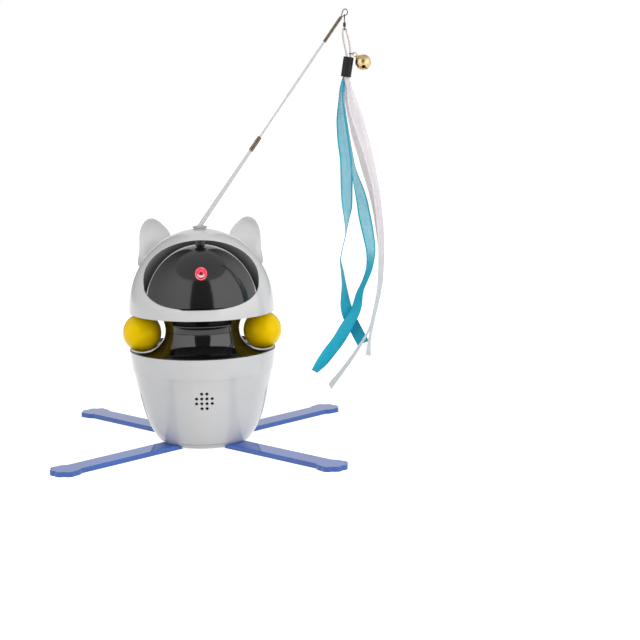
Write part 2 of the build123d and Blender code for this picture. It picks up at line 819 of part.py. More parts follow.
def make_laser_bezel():
    bore = eye_radius + eye_clearance
    sleeve = rod_y(bore + bezel_wall, -turret_radius, -eye_depth + 4, 0, eye_height)
    sleeve -= rod_y(bore, -turret_radius - 5, 0, 0, eye_height)
    return (sleeve & turret_space(-bezel_stand)) - turret_space(turret_wall)


def make_eye_socket():
    bore = eye_radius + eye_clearance
    socket = rod_y(bore + socket_wall, -socket_front_y, -socket_back_y, 0, eye_height)
    socket -= rod_y(bore, -turret_radius - 5, 0, 0, eye_height)
    socket -= rod_x(trunnion_radius + running_clearance, -20, 20, -eye_depth, eye_height)
    return socket & turret_space(turret_wall + 0.2)


def make_laser_eye():
    centre = Pos(0, -eye_depth, eye_height)
    eye = centre * Sphere(eye_radius)
    eye += rod_x(trunnion_radius, -eye_radius - socket_wall, eye_radius + socket_wall, -eye_depth, eye_height)
    eye -= rod_y(laser_radius + 0.02, -turret_radius - 5, 0, 0, eye_height)
    return eye


def make_laser_module():
    front = -eye_depth - eye_radius + 0.5
    module = rod_y(laser_radius, front, front + laser_length, 0, eye_height)
    module -= rod_y(lens_radius + 0.01, front - 1, front + lens_height, 0, eye_height)
    return module


def make_laser_lens():
    front = -eye_depth - eye_radius + 0.5
    return rod_y(lens_radius, front, front + lens_height, 0, eye_height)


# ---------------------------------------------------------------------- wand
wand_direction = Vector(cos(radians(wand_slope)), 0, sin(radians(wand_slope)))
wand_origin = Vector(0, 0, cap_top)
wand_frame = Plane(origin=wand_origin, x_dir=(0, 1, 0), z_dir=wand_direction)


def along_wand(solid):
    """Place a solid built on Z along the wand's own line."""
    return wand_frame.location * solid


def make_wand_socket():
    stem_low = deck_tower_top + 0.5
    socket = disc(stem_radius, stem_low, cap_low + 1)
    socket += fillet(disc(cap_radius, cap_low, cap_top).edges().sort_by(Axis.Z)[-1], 0.6)
    socket -= disc(motor_shaft_radius + 0.02, stem_low - 1, stem_low + 8)
    socket -= along_wand(disc(tube_root_radius + 0.02, -tube_socket_depth, 20))
    return socket


def make_wand_bushing():
    inner_rise = head_rise - head_wall
    seat = head_centre_height + inner_rise * sqrt(1 - (bushing_flange_radius / head_inner_radius) ** 2)
    low = seat - bushing_flange_height
    bushing = disc(bushing_radius, low, head_top + 0.1)
    bushing += disc(bushing_flange_radius, low, low + bushing_flange_height)
    return bushing - disc(stem_radius + running_clearance, low - 1, head_top + 2)


def make_wand_tube():
    outline = Polyline((tube_bore_radius, tube_length), (tube_end_radius, tube_length),
                       (tube_root_radius, 6), (tube_root_radius, -tube_socket_depth), (0, -tube_socket_depth),
                       (0, tube_bore_start), (tube_bore_radius, tube_bore_start), close=True)
    return along_wand(lathe(outline))


def make_wand_ferrule():
    ferrule = disc(ferrule_radius, ferrule_start, ferrule_end)
    ferrule = fillet(ferrule.edges().filter_by(GeomType.CIRCLE), 0.3)
    seat_radius = tube_end_radius + (tube_root_radius - tube_end_radius) * (
        (tube_length - ferrule_start) / (tube_length - 6))
    seat = Polyline((0, ferrule_start), (seat_radius + 0.02, ferrule_start), (tube_end_radius + 0.02, tube_length),
                    (0, tube_length), close=True)
    ferrule -= lathe(seat)
    ferrule -= disc(tube_bore_radius, ferrule_start, ferrule_end + 1)
    return along_wand(ferrule)


def make_wand_rod():
    return along_wand(disc(rod_radius, rod_start, tip_sleeve_start + rod_insertion))


def make_tip_sleeve():
    sleeve = disc(tip_sleeve_radius, tip_sleeve_start, tip_sleeve_end)
    sleeve = fillet(sleeve.edges().filter_by(GeomType.CIRCLE), 0.25)
    sleeve -= disc(rod_radius + 0.02, tip_sleeve_start - 1, tip_sleeve_start + rod_insertion)
    sleeve -= disc(loop_wire_radius + 0.02, tip_sleeve_start, tip_sleeve_end + 1)
    return along_wand(sleeve)


loop_centre = wand_origin + wand_direction * loop_distance


def make_tip_loop():
    loop = Pos(loop_centre) * Rot(90, 0, 0) * Torus(loop_ring_radius, loop_wire_radius)
    shank = disc(loop_wire_radius, tip_sleeve_start + rod_insertion + 0.1, loop_distance - loop_ring_radius + 0.05)
    return loop + along_wand(shank)


# ------------------------------------------------------------ swivel and lure
lure_x = loop_centre.X
eye_ring_z = (loop_centre.Z - loop_ring_radius + loop_wire_radius + swivel_wire_gap
              + swivel_wire_radius - swivel_eye_ring_radius)
barrel_top = eye_ring_z - swivel_eye_ring_radius - swivel_neck
barrel_low = barrel_top - swivel_barrel_height
hook_z = barrel_low - hook_ring_radius + 0.1


def make_swivel_eye():
    eye = Pos(lure_x, 0, eye_ring_z) * Rot(0, 90, 0) * Torus(swivel_eye_ring_radius, swivel_wire_radius)
    pin_top = eye_ring_z - swivel_eye_ring_radius
    return eye + disc(swivel_pin_radius, barrel_top - swivel_pin_length, pin_top, lure_x)


def make_swivel_hook():
    barrel = disc(swivel_barrel_radius, barrel_low, barrel_top, lure_x)
    barrel = fillet(barrel.edges().filter_by(GeomType.CIRCLE), 0.35)
    barrel -= disc(swivel_pin_radius + running_clearance, barrel_top - swivel_pin_length - 0.1, barrel_top + 1, lure_x)
    hook = Pos(lure_x, 0, hook_z) * Rot(0, 90, 0) * Torus(hook_ring_radius, swivel_wire_radius)
    return barrel + hook


sleeve_axis = Vector(sin(radians(sleeve_tilt)), 0, cos(radians(sleeve_tilt)))
sleeve_top = Vector(sleeve_top_x, 0, sleeve_top_height)
sleeve_frame = Plane(origin=sleeve_top, x_dir=(0, 1, 0), z_dir=sleeve_axis)


def on_sleeve(solid):
    """Place a solid built below Z = 0 on the lure sleeve's line."""
    return sleeve_frame.location * solid


def make_lure_sleeve():
    sleeve = disc(sleeve_radius, -sleeve_length, 0)
    sleeve = fillet(sleeve.edges().filter_by(GeomType.CIRCLE), 0.5)
    return on_sleeve(sleeve - disc(sleeve_bore_radius, -sleeve_length - 1, 1))


def make_ribbon_bundle():
    return on_sleeve(disc(sleeve_bore_radius - 0.02, -sleeve_length + bundle_recess, -bundle_recess))


# The elastic loop: up one side, through the hook's ring and down the other.
elastic_top = hook_z
elastic_route = [
    (121.35, 309.2),
    (120.3, 315.0),
    (118.9, 321.5),
    (118.0, 327.0),
    (118.0, 330.8),
    (118.25, elastic_top),
    (120.5, elastic_top),
    (120.85, 330.8),
    (121.9, 327.0),
    (123.2, 321.5),
    (123.85, 315.0),
    (124.0, 308.8),
]


def make_elastic_loop():
    points = [Vector(x, 0, z) for x, z in elastic_route]
    radii = []
    for before, here, after in zip(points, points[1:], points[2:]):
        shorter = min((here - before).length, (after - here).length)
        turn = radians((here - before).get_angle(after - here))
        radii.append(0.45 * shorter / tan(turn / 2))
    print("elastic radii", [round(radius, 1) for radius in radii])
    path = FilletPolyline(*points, radius=radii)
    print("elastic length", round(path.length, 1))
    start = Plane(origin=path @ 0, z_dir=path % 0)
    tube = sweep(start * Circle(elastic_radius), path=path)
    bundle_top = on_sleeve(disc(sleeve_radius * 3, -sleeve_length * 2, -bundle_recess))
    return tube - bundle_top


# Ribbons: (x, y, z, turn of the flat side about the vertical, in degrees)
ribbon_blue_short = [
    (117.1, 3.6, 286.0, 52), (116.0, 5.0, 276.0, 62), (116.3, 5.8, 268.0, 46), (116.8, 6.4, 258.0, 26),
    (118.1, 6.8, 243.0, 10), (119.9, 7.0, 229.0, 4), (120.3, 7.0, 214.0, 0), (120.3, 6.8, 200.0, 14),
    (120.5, 6.4, 190.0, 29), (120.1, 6.0, 182.0, 53), (119.6, 5.6, 174.0, 70), (118.6, 5.4, 165.5, 80),
    (116.2, 5.0, 155.5, 81), (114.4, 4.6, 146.0, 79), (115.5, 4.2, 138.0, 73), (116.8, 4.0, 127.0, 64),
    (117.4, 3.8, 117.5, 46), (118.2, 3.6, 108.5, 23), (120.5, 3.6, 100.0, 4), (125.6, 3.4, 90.0, 0),
    (132.2, 3.2, 76.8, 0),
]
ribbon_blue_long = [
    (118.5, 0.6, 286.0, 56), (117.9, 0.4, 276.0, 72), (118.9, 0.4, 266.0, 73), (120.2, 0.4, 256.0, 72),
    (122.0, 0.4, 244.0, 71), (123.6, 0.4, 233.0, 68), (125.0, 0.4, 223.0, 63), (127.2, 0.4, 213.6, 51),
    (129.9, 0.3, 204.0, 34), (132.2, 0.2, 194.0, 18), (133.6, 0.1, 185.0, 4), (135.6, 0.0, 174.5, -14),
    (137.4, -0.2, 164.5, -30), (138.7, -0.6, 155.0, -44), (138.3, -1.2, 146.0, -58), (136.9, -2.0, 138.5, -66),
    (133.7, -2.8, 130.3, -71), (131.0, -3.4, 124.5, -70), (128.9, -3.8, 119.0, -62), (127.3, -4.0, 111.5, -50),
    (125.2, -4.0, 105.0, -42), (121.0, -4.0, 97.4, -30), (116.0, -3.8, 89.0, -14), (110.6, -3.6, 80.4, 0),
    (104.6, -3.6, 72.8, 0), (98.0, -3.6, 64.2, 12), (91.0, -3.6, 55.6, 42),
]
ribbon_white_short = [
    (121.6, -1.0, 286.0, 48), (121.8, -1.8, 278.0, 44), (123.8, -2.4, 269.5, 34), (126.0, -3.0, 261.0, 20),
    (128.8, -3.8, 247.5, 16), (133.2, -4.4, 232.5, 20), (136.6, -4.8, 218.5, 29), (140.1, -5.2, 205.0, 39),
    (143.2, -5.6, 189.5, 45), (145.2, -5.9, 175.0, 48), (146.3, -6.2, 161.5, 56), (146.7, -6.0, 147.0, 60),
    (146.3, -5.6, 133.0, 63), (145.0, -5.0, 122.0, 63), (142.8, -4.4, 111.0, 65), (140.0, -3.4, 97.0, 68),
    (137.9, -3.2, 86.6, 73), (136.3, -3.2, 77.0, 75), (135.6, -3.2, 67.6, 66),
]
ribbon_white_long = [
    (122.6, -2.4, 286.0, 46), (124.1, -4.0, 278.0, 38), (126.2, -5.2, 269.5, 24), (128.7, -6.2, 261.0, 16),
    (132.4, -7.4, 248.0, 28), (136.5, -8.6, 233.0, 38), (139.8, -9.4, 218.5, 47), (142.6, -10.0, 204.5, 52),
    (144.3, -10.6, 189.5, 53), (145.6, -11.2, 175.0, 54), (146.1, -11.8, 161.0, 56), (146.0, -12.2, 147.0, 57),
    (145.2, -12.6, 132.5, 60), (143.8, -13.2, 122.0, 62), (141.4, -13.8, 111.0, 64), (137.6, -14.4, 96.5, 67),
    (133.2, -14.4, 87.0, 72), (127.2, -13.6, 77.2, 75), (120.6, -13.0, 67.3, 75), (113.4, -12.6, 57.6, 73),
    (105.4, -12.4, 47.6, 68), (102.9, -12.4, 44.2, 66),
]


def make_ribbon(route, order):
    """Thin band from the bundle through the stations, square to its own line."""
    exit_place = sleeve_top - sleeve_axis * (sleeve_length - bundle_recess)
    exit_y = (1.5 - order) * ribbon_spacing
    route = [(exit_place.X, exit_y, exit_place.Z, 0)] + route
    sections = []
    count = len(route)
    for index, (x, y, z, turn) in enumerate(route):
        before = Vector(*route[max(index - 1, 0)][:3])
        after = Vector(*route[min(index + 1, count - 1)][:3])
        down = -sleeve_axis if index == 0 else (after - before).normalized()
        flat = Vector(cos(radians(turn)), sin(radians(turn)), 0)
        flat = (flat - down * flat.dot(down)).normalized()
        width = {0: ribbon_neck_width, 1: 0.7 * ribbon_width}.get(index, ribbon_width)
        plane = Plane(origin=(x, y, z), x_dir=flat, z_dir=down)
        sections.append(plane * Rectangle(width, ribbon_thickness))
    return loft(sections, ruled=True)


# ---------------------------------------------------------------------- bell
bell_hinge = Vector(sleeve_top.X + 4.3, 0, sleeve_top.Z + 2.5)
bell_down = Vector(cos(radians(bell_drop_angle)), 0, -sin(radians(bell_drop_angle)))
bell_centre = bell_hinge + bell_down * bell_distance
bell_frame = Plane(origin=bell_centre, x_dir=(0, 1, 0), z_dir=-bell_down)


def make_bell_ring():
    centre = bell_hinge - Vector(bell_ring_radius, 0, 0)
    return Pos(centre) * Torus(bell_ring_radius, bell_wire_radius)


def make_bell_shell():
    shell = Sphere(bell_radius) + Torus(bell_radius - 0.1, 0.35)
    low = sqrt(bell_radius ** 2 - bell_shoulder_radius ** 2) - 0.15
    shell += Pos(0, 0, (low + bell_radius + 1.2) / 2) * Cone(bell_shoulder_radius, 0.8, bell_radius + 1.2 - low)
    shell -= Sphere(bell_radius - bell_wall)
    slot = Box(bell_slot_width, 4 * bell_radius, 4 * bell_radius)
    turned = Rot(0, 0, bell_turn)
    for sign in (-1, 1):
        tilt = Rot(sign * bell_hole_angle, 0, 0)
        shell -= turned * tilt * Pos(0, 0, -bell_radius) * Cylinder(bell_hole_radius, bell_radius / 2)
    reach = bell_radius * cos(radians(bell_hole_angle))
    lower = Pos(0, 0, -2 * bell_radius - reach) * Box(4 * bell_radius, 4 * bell_radius, 4 * bell_radius)
    shell -= turned * (slot & lower)
    eye_centre = bell_distance - (bell_eye_radius - 2 * bell_wire_radius - 0.1)
    shell += Pos(0, 0, eye_centre) * Rot(0, 90, 0) * Torus(bell_eye_radius, bell_wire_radius)
    shank_top = eye_centre - bell_eye_radius
    shell += disc(0.8, bell_radius - 0.2, shank_top + 0.1)
    return bell_frame.location * shell


def make_bell_pellet():
    rest = bell_radius - bell_wall - pellet_radius - 0.05
    return Pos(bell_centre.X, 0, bell_centre.Z - rest) * Sphere(pellet_radius)


# --------------------------------------------------------- speaker, electronics
def make_speaker():
    face = -speaker_face_y
    frame = rod_y(speaker_radius, face, face + 1.6, 0, speaker_height)
    frame -= rod_y(speaker_radius - 2, face - 1, face + 0.8, 0, speaker_height)
    frame += rod_y(speaker_radius - 2.2, face + 0.8, face + 3.6, 0, speaker_height)
    frame += rod_y(speaker_radius - 6, face + 3, face + speaker_depth, 0, speaker_height)
    return frame


def make_circuit_board():
    low, high = board_height, board_height + board_thickness
    board = block(-board_half_width, board_half_width, -board_front_y, board_back_y, low, high)
    board = fillet(board.edges().filter_by(Axis.Z), 3)
    for x, y in board_posts():
        board -= disc(screw_shank_radius, low - 1, high + 1, x, y)
    board += block(-6, 6, -8, 4, high, high + 1.4)
    board += block(9, 15, 8, 13, high, high + 1.2)
    board += block(-16, -9, 10, 18, high, high + 2.2)
    board += disc(3.1, high, high + 7, 12, -12)
    board += disc(2.5, high, high + 5.5, -13, -14)
    board += block(-7, 7, -30, -25, high, high + 5)
    return board


def make_board_screws():
    screws = []
    top = board_height + board_thickness
    for x, y in board_posts():
        screw = disc(board_screw_head_radius, top, top + 1.3, x, y)
        screw += disc(screw_shank_radius - 0.32, top - board_screw_length + 0.5, top + 0.5, x, y)
        screw -= Pos(x, y, top + 1.3) * (Box(2.2, 0.5, 1.2) + Box(0.5, 2.2, 1.2))
        screws.append(screw)
    return screws


def make_battery_cell():
    centre_z = floor_top + holder_wall + cell_radius
    cell = rod_x(cell_radius, -cell_length / 2, cell_length / 2 - 1, cell_y, centre_z)
    return cell + rod_x(3.0, cell_length / 2 - 1, cell_length / 2, cell_y, centre_z)


def make_battery_holder():
    centre_z = floor_top + holder_wall + cell_radius
    half_x = cell_length / 2 + holder_wall
    half_y = cell_radius * 0.86
    holder = block(-half_x, half_x, cell_y - half_y, cell_y + half_y, floor_top, floor_top + holder_height)
    holder -= rod_x(cell_radius + 0.05, -cell_length / 2, cell_length / 2, cell_y, centre_z)
    for x, y in base_screw_places():
        holder -= disc(screw_shank_radius + boss_wall + 0.2, floor_top - 1, floor_top + 20, x, y)
    return holder


def make_usb_socket():
    body = Pos(-usb_x, usb_face_y - usb_length / 2, usb_z) * Box(usb_width, usb_length, usb_height)
    body = fillet(body.edges().filter_by(Axis.Y), usb_height / 2 - 0.05)
    bore = Pos(-usb_x, usb_face_y - usb_length / 2 + 1.2, usb_z) * Box(
        usb_width - 2 * usb_wall, usb_length, usb_height - 2 * usb_wall)
    body -= fillet(bore.edges().filter_by(Axis.Y), usb_height / 2 - usb_wall - 0.05)
    tongue_y = usb_face_y - usb_length + 3.6
    return body + Pos(-usb_x, tongue_y, usb_z) * Box(6.6, 6.4, 0.7)


def make_power_switch():
    front = board_back_y - switch_size - 1
    top = board_height + board_thickness
    body = block(button_x - 3, button_x + 3, front, front + switch_size - 1.5, top, top + switch_size)
    return body + rod_y(1.5, front + switch_size - 1.6, front + switch_size - 0.6, button_x, button_z)


def make_power_button():
    inner = board_back_y - 1.6 + button_travel + 0.1
    outer = wall_y_at_button + button_proud
    flange = inner + 4.0
    button = rod_y(button_radius, flange, outer, button_x, button_z)
    button = fillet(button.edges().sort_by(Axis.Y)[-1], 0.7)
    button += rod_y(button_flange_radius, flange, flange + 1.0, button_x, button_z)
    return button + rod_y(1.4, inner, flange + 0.2, button_x, button_z)


# ------------------------------------------------------------------- writing
def main():
    os.makedirs("parts", exist_ok=True)
    save("body_shell", make_body_shell())
    save("base_plate", make_base_plate())
    save("base_screws", *make_base_screws())
    save("battery_cell", make_battery_cell())
    save("battery_holder", make_battery_holder())
    save("main_circuit_board", make_circuit_board())
    save("board_screws", *make_board_screws())
    save("usb_c_socket", make_usb_socket())
    save("power_switch", make_power_switch())
    save("power_button", make_power_button())
    save("speaker_driver", make_speaker())
    save("track_lower", make_track_lower())
    save("track_upper", make_track_upper())
    save("ball_left", make_ball(-1))
    save("ball_right", make_ball(1))
    save("head_shell", make_head_shell())
    save("head_liner", make_head_liner())
    save("head_deck", make_head_deck())
    save("head_screws", *make_head_screws())
    save("motor_screws", *make_motor_screws())
    save("wand_gearmotor", make_gearmotor(motor_top, 0, deck_tower_top + 8))
    save("turret_gearmotor", make_gearmotor(upper_flat, pinion_y, gear_top - 0.5))
    save("turret_pinion", make_turret_pinion())
    save("turret_ring_gear", make_turret_gear())
    save("turret_plate", make_turret_plate())
    save("turret_clip", make_turret_clip())
    save("turret_shell", make_turret_shell())
    save("turret_screws", *make_turret_screws())
    save("eye_socket", make_eye_socket())
    save("laser_bezel", make_laser_bezel())
    save("laser_eye", make_laser_eye())
    save("laser_module", make_laser_module())
    save("laser_lens", make_laser_lens())
    save("wand_socket", make_wand_socket())
    save("wand_bushing", make_wand_bushing())
    save("wand_tube", make_wand_tube())
    save("wand_ferrule", make_wand_ferrule())
    save("wand_rod", make_wand_rod())
    save("wand_tip_sleeve", make_tip_sleeve())
    save("wand_tip_loop", make_tip_loop())
    save("swivel_eye", make_swivel_eye())
    save("swivel_hook", make_swivel_hook())
    save("elastic_loop", make_elastic_loop())
    save("lure_sleeve", make_lure_sleeve())
    save("ribbon_bundle", make_ribbon_bundle())
    save("ribbon_blue_short", make_ribbon(ribbon_blue_short, 0))
    save("ribbon_blue_long", make_ribbon(ribbon_blue_long, 1))
    save("ribbon_white_short", make_ribbon(ribbon_white_short, 2))
    save("ribbon_white_long", make_ribbon(ribbon_white_long, 3))
    save("bell_ring", make_bell_ring())
    save("bell_shell", make_bell_shell())
    save("bell_pellet", make_bell_pellet())
    names = ("back_right", "back_left", "front_left", "front_right")
    for quarter, name in enumerate(names):
        save(f"leg_{name}", make_leg(leg_angle + 90 * quarter))


if __name__ == "__main__":
    main()
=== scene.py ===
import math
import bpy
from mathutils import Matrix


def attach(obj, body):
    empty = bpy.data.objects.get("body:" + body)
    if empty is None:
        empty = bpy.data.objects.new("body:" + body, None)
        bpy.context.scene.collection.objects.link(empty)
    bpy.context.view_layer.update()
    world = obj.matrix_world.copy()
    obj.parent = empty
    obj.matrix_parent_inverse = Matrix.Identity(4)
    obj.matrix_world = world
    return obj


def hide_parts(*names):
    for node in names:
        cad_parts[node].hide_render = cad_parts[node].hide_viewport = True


bl_info = {
    "name": "Cat laser toy",
    "version": (1, 0, 0),
    "blender": (4, 5, 0),
    "location": "View3D > Sidebar > Cat toy",
    "description": "Dresses the cat toy: shells, rolling balls, turret, wand, lure and legs",
    "category": "Object",
}

import bmesh
import bpy
from bpy.props import FloatProperty, FloatVectorProperty, IntProperty, PointerProperty
from mathutils import Matrix, Vector

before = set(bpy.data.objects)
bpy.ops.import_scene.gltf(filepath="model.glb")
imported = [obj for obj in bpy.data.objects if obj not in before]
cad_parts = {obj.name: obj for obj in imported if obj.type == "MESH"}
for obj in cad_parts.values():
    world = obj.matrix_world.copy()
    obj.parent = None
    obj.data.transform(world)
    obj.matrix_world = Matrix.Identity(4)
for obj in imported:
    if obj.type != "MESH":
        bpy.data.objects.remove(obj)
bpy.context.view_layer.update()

MM = 0.001


def tone(red, green, blue):
    """Linear colour of three display values from 0 to 255."""
    shares = [value / 255 for value in (red, green, blue)]
    return tuple(
        share / 12.92 if share <= 0.04045 else ((share + 0.055) / 1.055) ** 2.4
        for share in shares
    )


# --- shader helpers
class Flow:
    """A socket in a material. A sum written with it adds the Math nodes."""

    def __init__(self, tree, socket):
        self.tree = tree
        self.socket = socket

    def sum(self, operation, *values):
        return step(self.tree, "ShaderNodeMath", {"operation": operation}, values)

    def __add__(self, other):
        return self.sum("ADD", self, other)

    __radd__ = __add__

    def __sub__(self, other):
        return self.sum("SUBTRACT", self, other)

    def __rsub__(self, other):
        return self.sum("SUBTRACT", other, self)

    def __mul__(self, other):
        return self.sum("MULTIPLY", self, other)

    __rmul__ = __mul__

    def __lt__(self, other):
        return self.sum("LESS_THAN", self, other)

    def __abs__(self):
        return self.sum("ABSOLUTE", self)

    def sine(self):
        return self.sum("SINE", self)

    def held(self, low=0.0, high=1.0):
        return step(self.tree, "ShaderNodeClamp", {}, (self, low, high))

    def ramped(self, low, high):
        """0 below low, 1 above high, and smooth between."""
        settings = {"interpolation_type": "SMOOTHSTEP"}
        return step(self.tree, "ShaderNodeMapRange", settings, (self, low, high, 0.0, 1.0))


def step(tree, kind, settings, inputs, output=0):
    """Adds one node, with its settings and then its sockets, and gives one output."""
    made = tree.nodes.new(kind)
    for name, value in settings.items():
        if name == "stops":
            ramp = made.color_ramp
            while len(ramp.elements) < len(value):
                ramp.elements.new(0.5)
            for element, (place, colour) in zip(ramp.elements, value):
                element.position = place
                element.color = colour
        else:
            setattr(made, name, value)
    pairs = inputs.items() if isinstance(inputs, dict) else enumerate(inputs)
    for key, value in pairs:
        if isinstance(value, Flow):
            tree.links.new(value.socket, made.inputs[key])
        elif value is not None:
            socket = made.inputs[key]
            if hasattr(socket.default_value, "__len__") and len(value) == 3:
                value = (*value, 1.0) if len(socket.default_value) == 4 else value
            socket.default_value = value
    return Flow(tree, made.outputs[output])


class Paint:
    """One material under way: its tree, its patterns and its surface."""

    def __init__(self, name):
        self.material = bpy.data.materials.new(name)
        self.material.use_nodes = True
        self.tree = self.material.node_tree
        self.tree.nodes.clear()

    def blend(self, share, first, second):
        """Colour between two colours."""
        made = self.tree.nodes.new("ShaderNodeMix")
        made.data_type = "RGBA"
        made.clamp_factor = True
        for name, value in (("Factor_Float", share), ("A_Color", first), ("B_Color", second)):
            socket = next(s for s in made.inputs if s.identifier == name)
            if isinstance(value, Flow):
                self.tree.links.new(value.socket, socket)
            else:
                socket.default_value = (*value, 1.0)
        return Flow(self.tree, next(s for s in made.outputs if s.identifier == "Result_Color"))

    def place(self, scale=(1, 1, 1)):
        """The point on the piece, in metres, scaled."""
        point = step(self.tree, "ShaderNodeTexCoord", {}, (), "Object")
        return step(self.tree, "ShaderNodeMapping", {}, {"Vector": point, "Scale": scale})

    def height(self):
        """Height on the piece, in metres."""
        return self.parts(self.place())[2]

    def parts(self, vector):
        """The three numbers of a vector."""
        split = step(self.tree, "ShaderNodeSeparateXYZ", {}, (vector,))
        return [Flow(self.tree, split.socket.node.outputs[i]) for i in range(3)]

    def cloud(self, size, detail=2.0, stretch=(1, 1, 1), rough=0.5):
        """Soft noise with spots about size metres wide, from 0 to 1."""
        scale = tuple(1 / (size * part) for part in stretch)
        inputs = {"Vector": self.place(scale), "Scale": 1.0, "Detail": detail, "Roughness": rough}
        return step(self.tree, "ShaderNodeTexNoise", {}, inputs)

    def cells(self, size, randomness=1.0):
        """Distance to the nearest of scattered points about size metres apart."""
        inputs = {"Vector": self.place((1 / size,) * 3), "Scale": 1.0, "Randomness": randomness}
        return step(self.tree, "ShaderNodeTexVoronoi", {"feature": "F1"}, inputs)

    def woven(self):
        """The two numbers of the piece's own map: across and along."""
        point = step(self.tree, "ShaderNodeUVMap", {"uv_map": "cloth"}, ())
        return self.parts(point)[:2]

    def relief(self, height, depth, normal=None):
        """Normal of a surface raised by height, from 0 to 1, times depth in metres."""
        inputs = {"Strength": 1.0, "Distance": depth, "Height": height, "Normal": normal}
        return step(self.tree, "ShaderNodeBump", {}, inputs)

    def rounded(self, radius):
        """Normal of the surface with its edges rounded."""
        return step(self.tree, "ShaderNodeBevel", {"samples": 6}, {"Radius": radius})

    def edges(self, radius):
        """1 near the sharp edges, 0 elsewhere."""
        true = step(self.tree, "ShaderNodeNewGeometry", {}, (), "Normal")
        vectors = (self.rounded(radius), true)
        dot = step(self.tree, "ShaderNodeVectorMath", {"operation": "DOT_PRODUCT"}, vectors, "Value")
        return (1 - dot).ramped(0.01, 0.12)

    def end(self, shader):
        """Ends the material in a shader and gives the material."""
        output = self.tree.nodes.new("ShaderNodeOutputMaterial")
        self.tree.links.new(shader.socket, output.inputs["Surface"])
        return self.material

    def glow(self, colour, strength):
        """Ends the material in plain light."""
        return self.end(step(self.tree, "ShaderNodeEmission", {}, {"Color": colour, "Strength": strength}))

    def surface(self, **sockets):
        """Ends the material in a Principled surface, its sockets given as base_color and so on."""
        inputs = {}
        for name, value in sockets.items():
            inputs[name.replace("_", " ").title().replace("Ior", "IOR")] = value
        return self.end(step(self.tree, "ShaderNodeBsdfPrincipled", {}, inputs))

    def skin(self, colour, pattern, roughness, spread, depth, **sockets):
        """Ends the material in a surface whose gloss and relief follow a pattern. Depth in mm."""
        gloss = roughness + pattern * spread
        relief = self.relief(pattern, depth * MM)
        return self.surface(base_color=colour, roughness=gloss, normal=relief, **sockets)


# Each moulded finish: roughness, grain and its depth in mm, smudges and unevenness of the colour.
moulded_finishes = {
    "shell_plastic": (0.14, 0.5, 0.0015, 0.05, 0.02),
    "track_plastic": (0.1, 0.6, 0.0015, 0.05, 0.1),
    "liner_plastic": (0.45, 0.4, 0.006, 0.1, 0.1),
    "ball_plastic": (0.16, 0.5, 0.003, 0.08, 0.06),
    "turret_plastic": (0.12, 0.6, 0.0008, 0.04, 0.1),
    "socket_plastic": (0.25, 0.4, 0.003, 0.08, 0.1),
    "leg_plastic": (0.07, 0.5, 0.0006, 0.05, 0.08),
    "wand_plastic": (0.3, 0.4, 0.0, 0.06, 0.03),
    "sleeve_rubber": (0.5, 0.7, 0.03, 0.12, 0.15),
    "picot_thread": (0.5, 0.2, 0.004, 0.1, 0.06),
    "gear_nylon": (0.42, 0.4, 0.006, 0.1, 0.05),
    "bushing_nylon": (0.4, 0.4, 0.006, 0.1, 0.05),
    "holder_plastic": (0.45, 0.35, 0.008, 0.1, 0.1),
    "cell_wrap": (0.3, 0.6, 0.004, 0.1, 0.08),
    "button_rubber": (0.5, 0.3, 0.01, 0.1, 0.06),
    "switch_plastic": (0.4, 0.3, 0.008, 0.1, 0.1),
}


def moulded(name, colour, edge=0.0, **sockets):
    """Moulded plastic or rubber: fine skin, faint flow clouds, smudged gloss, and patchy lighter edges that
    are partly wear and partly a painted highlight.
    """
    roughness, grain, depth, smudge, tint = moulded_finishes[name]
    paint = Paint(name)
    flow = paint.cloud(28 * MM, 3.0)
    fine = paint.cloud(grain * MM, 2.0)
    wipe = paint.cloud(9 * MM, 4.0, (1, 1, 2.2))
    deep = tuple(part * (1 - tint) for part in colour)
    pale = tuple(min(1.0, part * (1 + tint) + 0.01 * tint) for part in colour)
    body = paint.blend(flow.ramped(0.3, 0.7), deep, pale)
    rough = roughness + (wipe - 0.5) * smudge + (fine - 0.5) * smudge * 0.5
    base = None
    # Where edge is given, sharp edges are painted lighter in patches: partly wear, partly a painted
    # highlight along the rims. They are also rougher, with rounded normals.
    if edge:
        wear_and_highlight_rim = paint.edges(0.5 * MM) * paint.cloud(1.6 * MM, 3.0).ramped(0.35, 0.7)
        wear_and_highlight_colour = tuple(min(1.0, part * 1.25 + 0.06) for part in colour)
        body = paint.blend(wear_and_highlight_rim * edge, body, wear_and_highlight_colour)
        rough = rough + wear_and_highlight_rim * 0.12
        base = paint.rounded(0.45 * MM)
    normal = paint.relief(fine, depth * MM, base)
    return paint.surface(base_color=body, roughness=rough.held(0.04, 1.0), normal=normal, **sockets)


def metal(name, colour, roughness=0.25, stretch=(1, 1, 1), tarnish=0.25, depth=0.004, **sockets):
    """Metal with drawn or plated streaks, darker spots and uneven gloss."""
    paint = Paint(name)
    streak = paint.cloud(0.5 * MM, 3.0, stretch)
    spots = paint.cloud(2.4 * MM, 4.0)
    dull = tuple(part * (1 - tarnish) for part in colour)
    body = paint.blend((spots * 0.6 + streak * 0.5).ramped(0.35, 0.8), dull, colour)
    rough = roughness + (streak - 0.5) * 0.14 + (spots - 0.5) * 0.1
    return paint.surface(
        base_color=body,
        metallic=1.0,
        roughness=rough.held(0.05, 1.0),
        normal=paint.relief(streak, depth * MM),
        **sockets,
    )


def skin_rings(name, rings):
    """A closed mesh over rings of points in metres. Each ring turns anticlockwise about the way on."""
    mesh = bpy.data.meshes.new(name)
    form = bmesh.new()
    rows = [[form.verts.new(point) for point in ring] for ring in rings]
    for low, high in zip(rows, rows[1:]):
        for here in range(len(low)):
            after = (here + 1) % len(low)
            form.faces.new((low[here], low[after], high[after], high[here]))
    form.faces.new(list(reversed(rows[0])))
    form.faces.new(rows[-1])
    form.to_mesh(mesh)
    form.free()
    return mesh


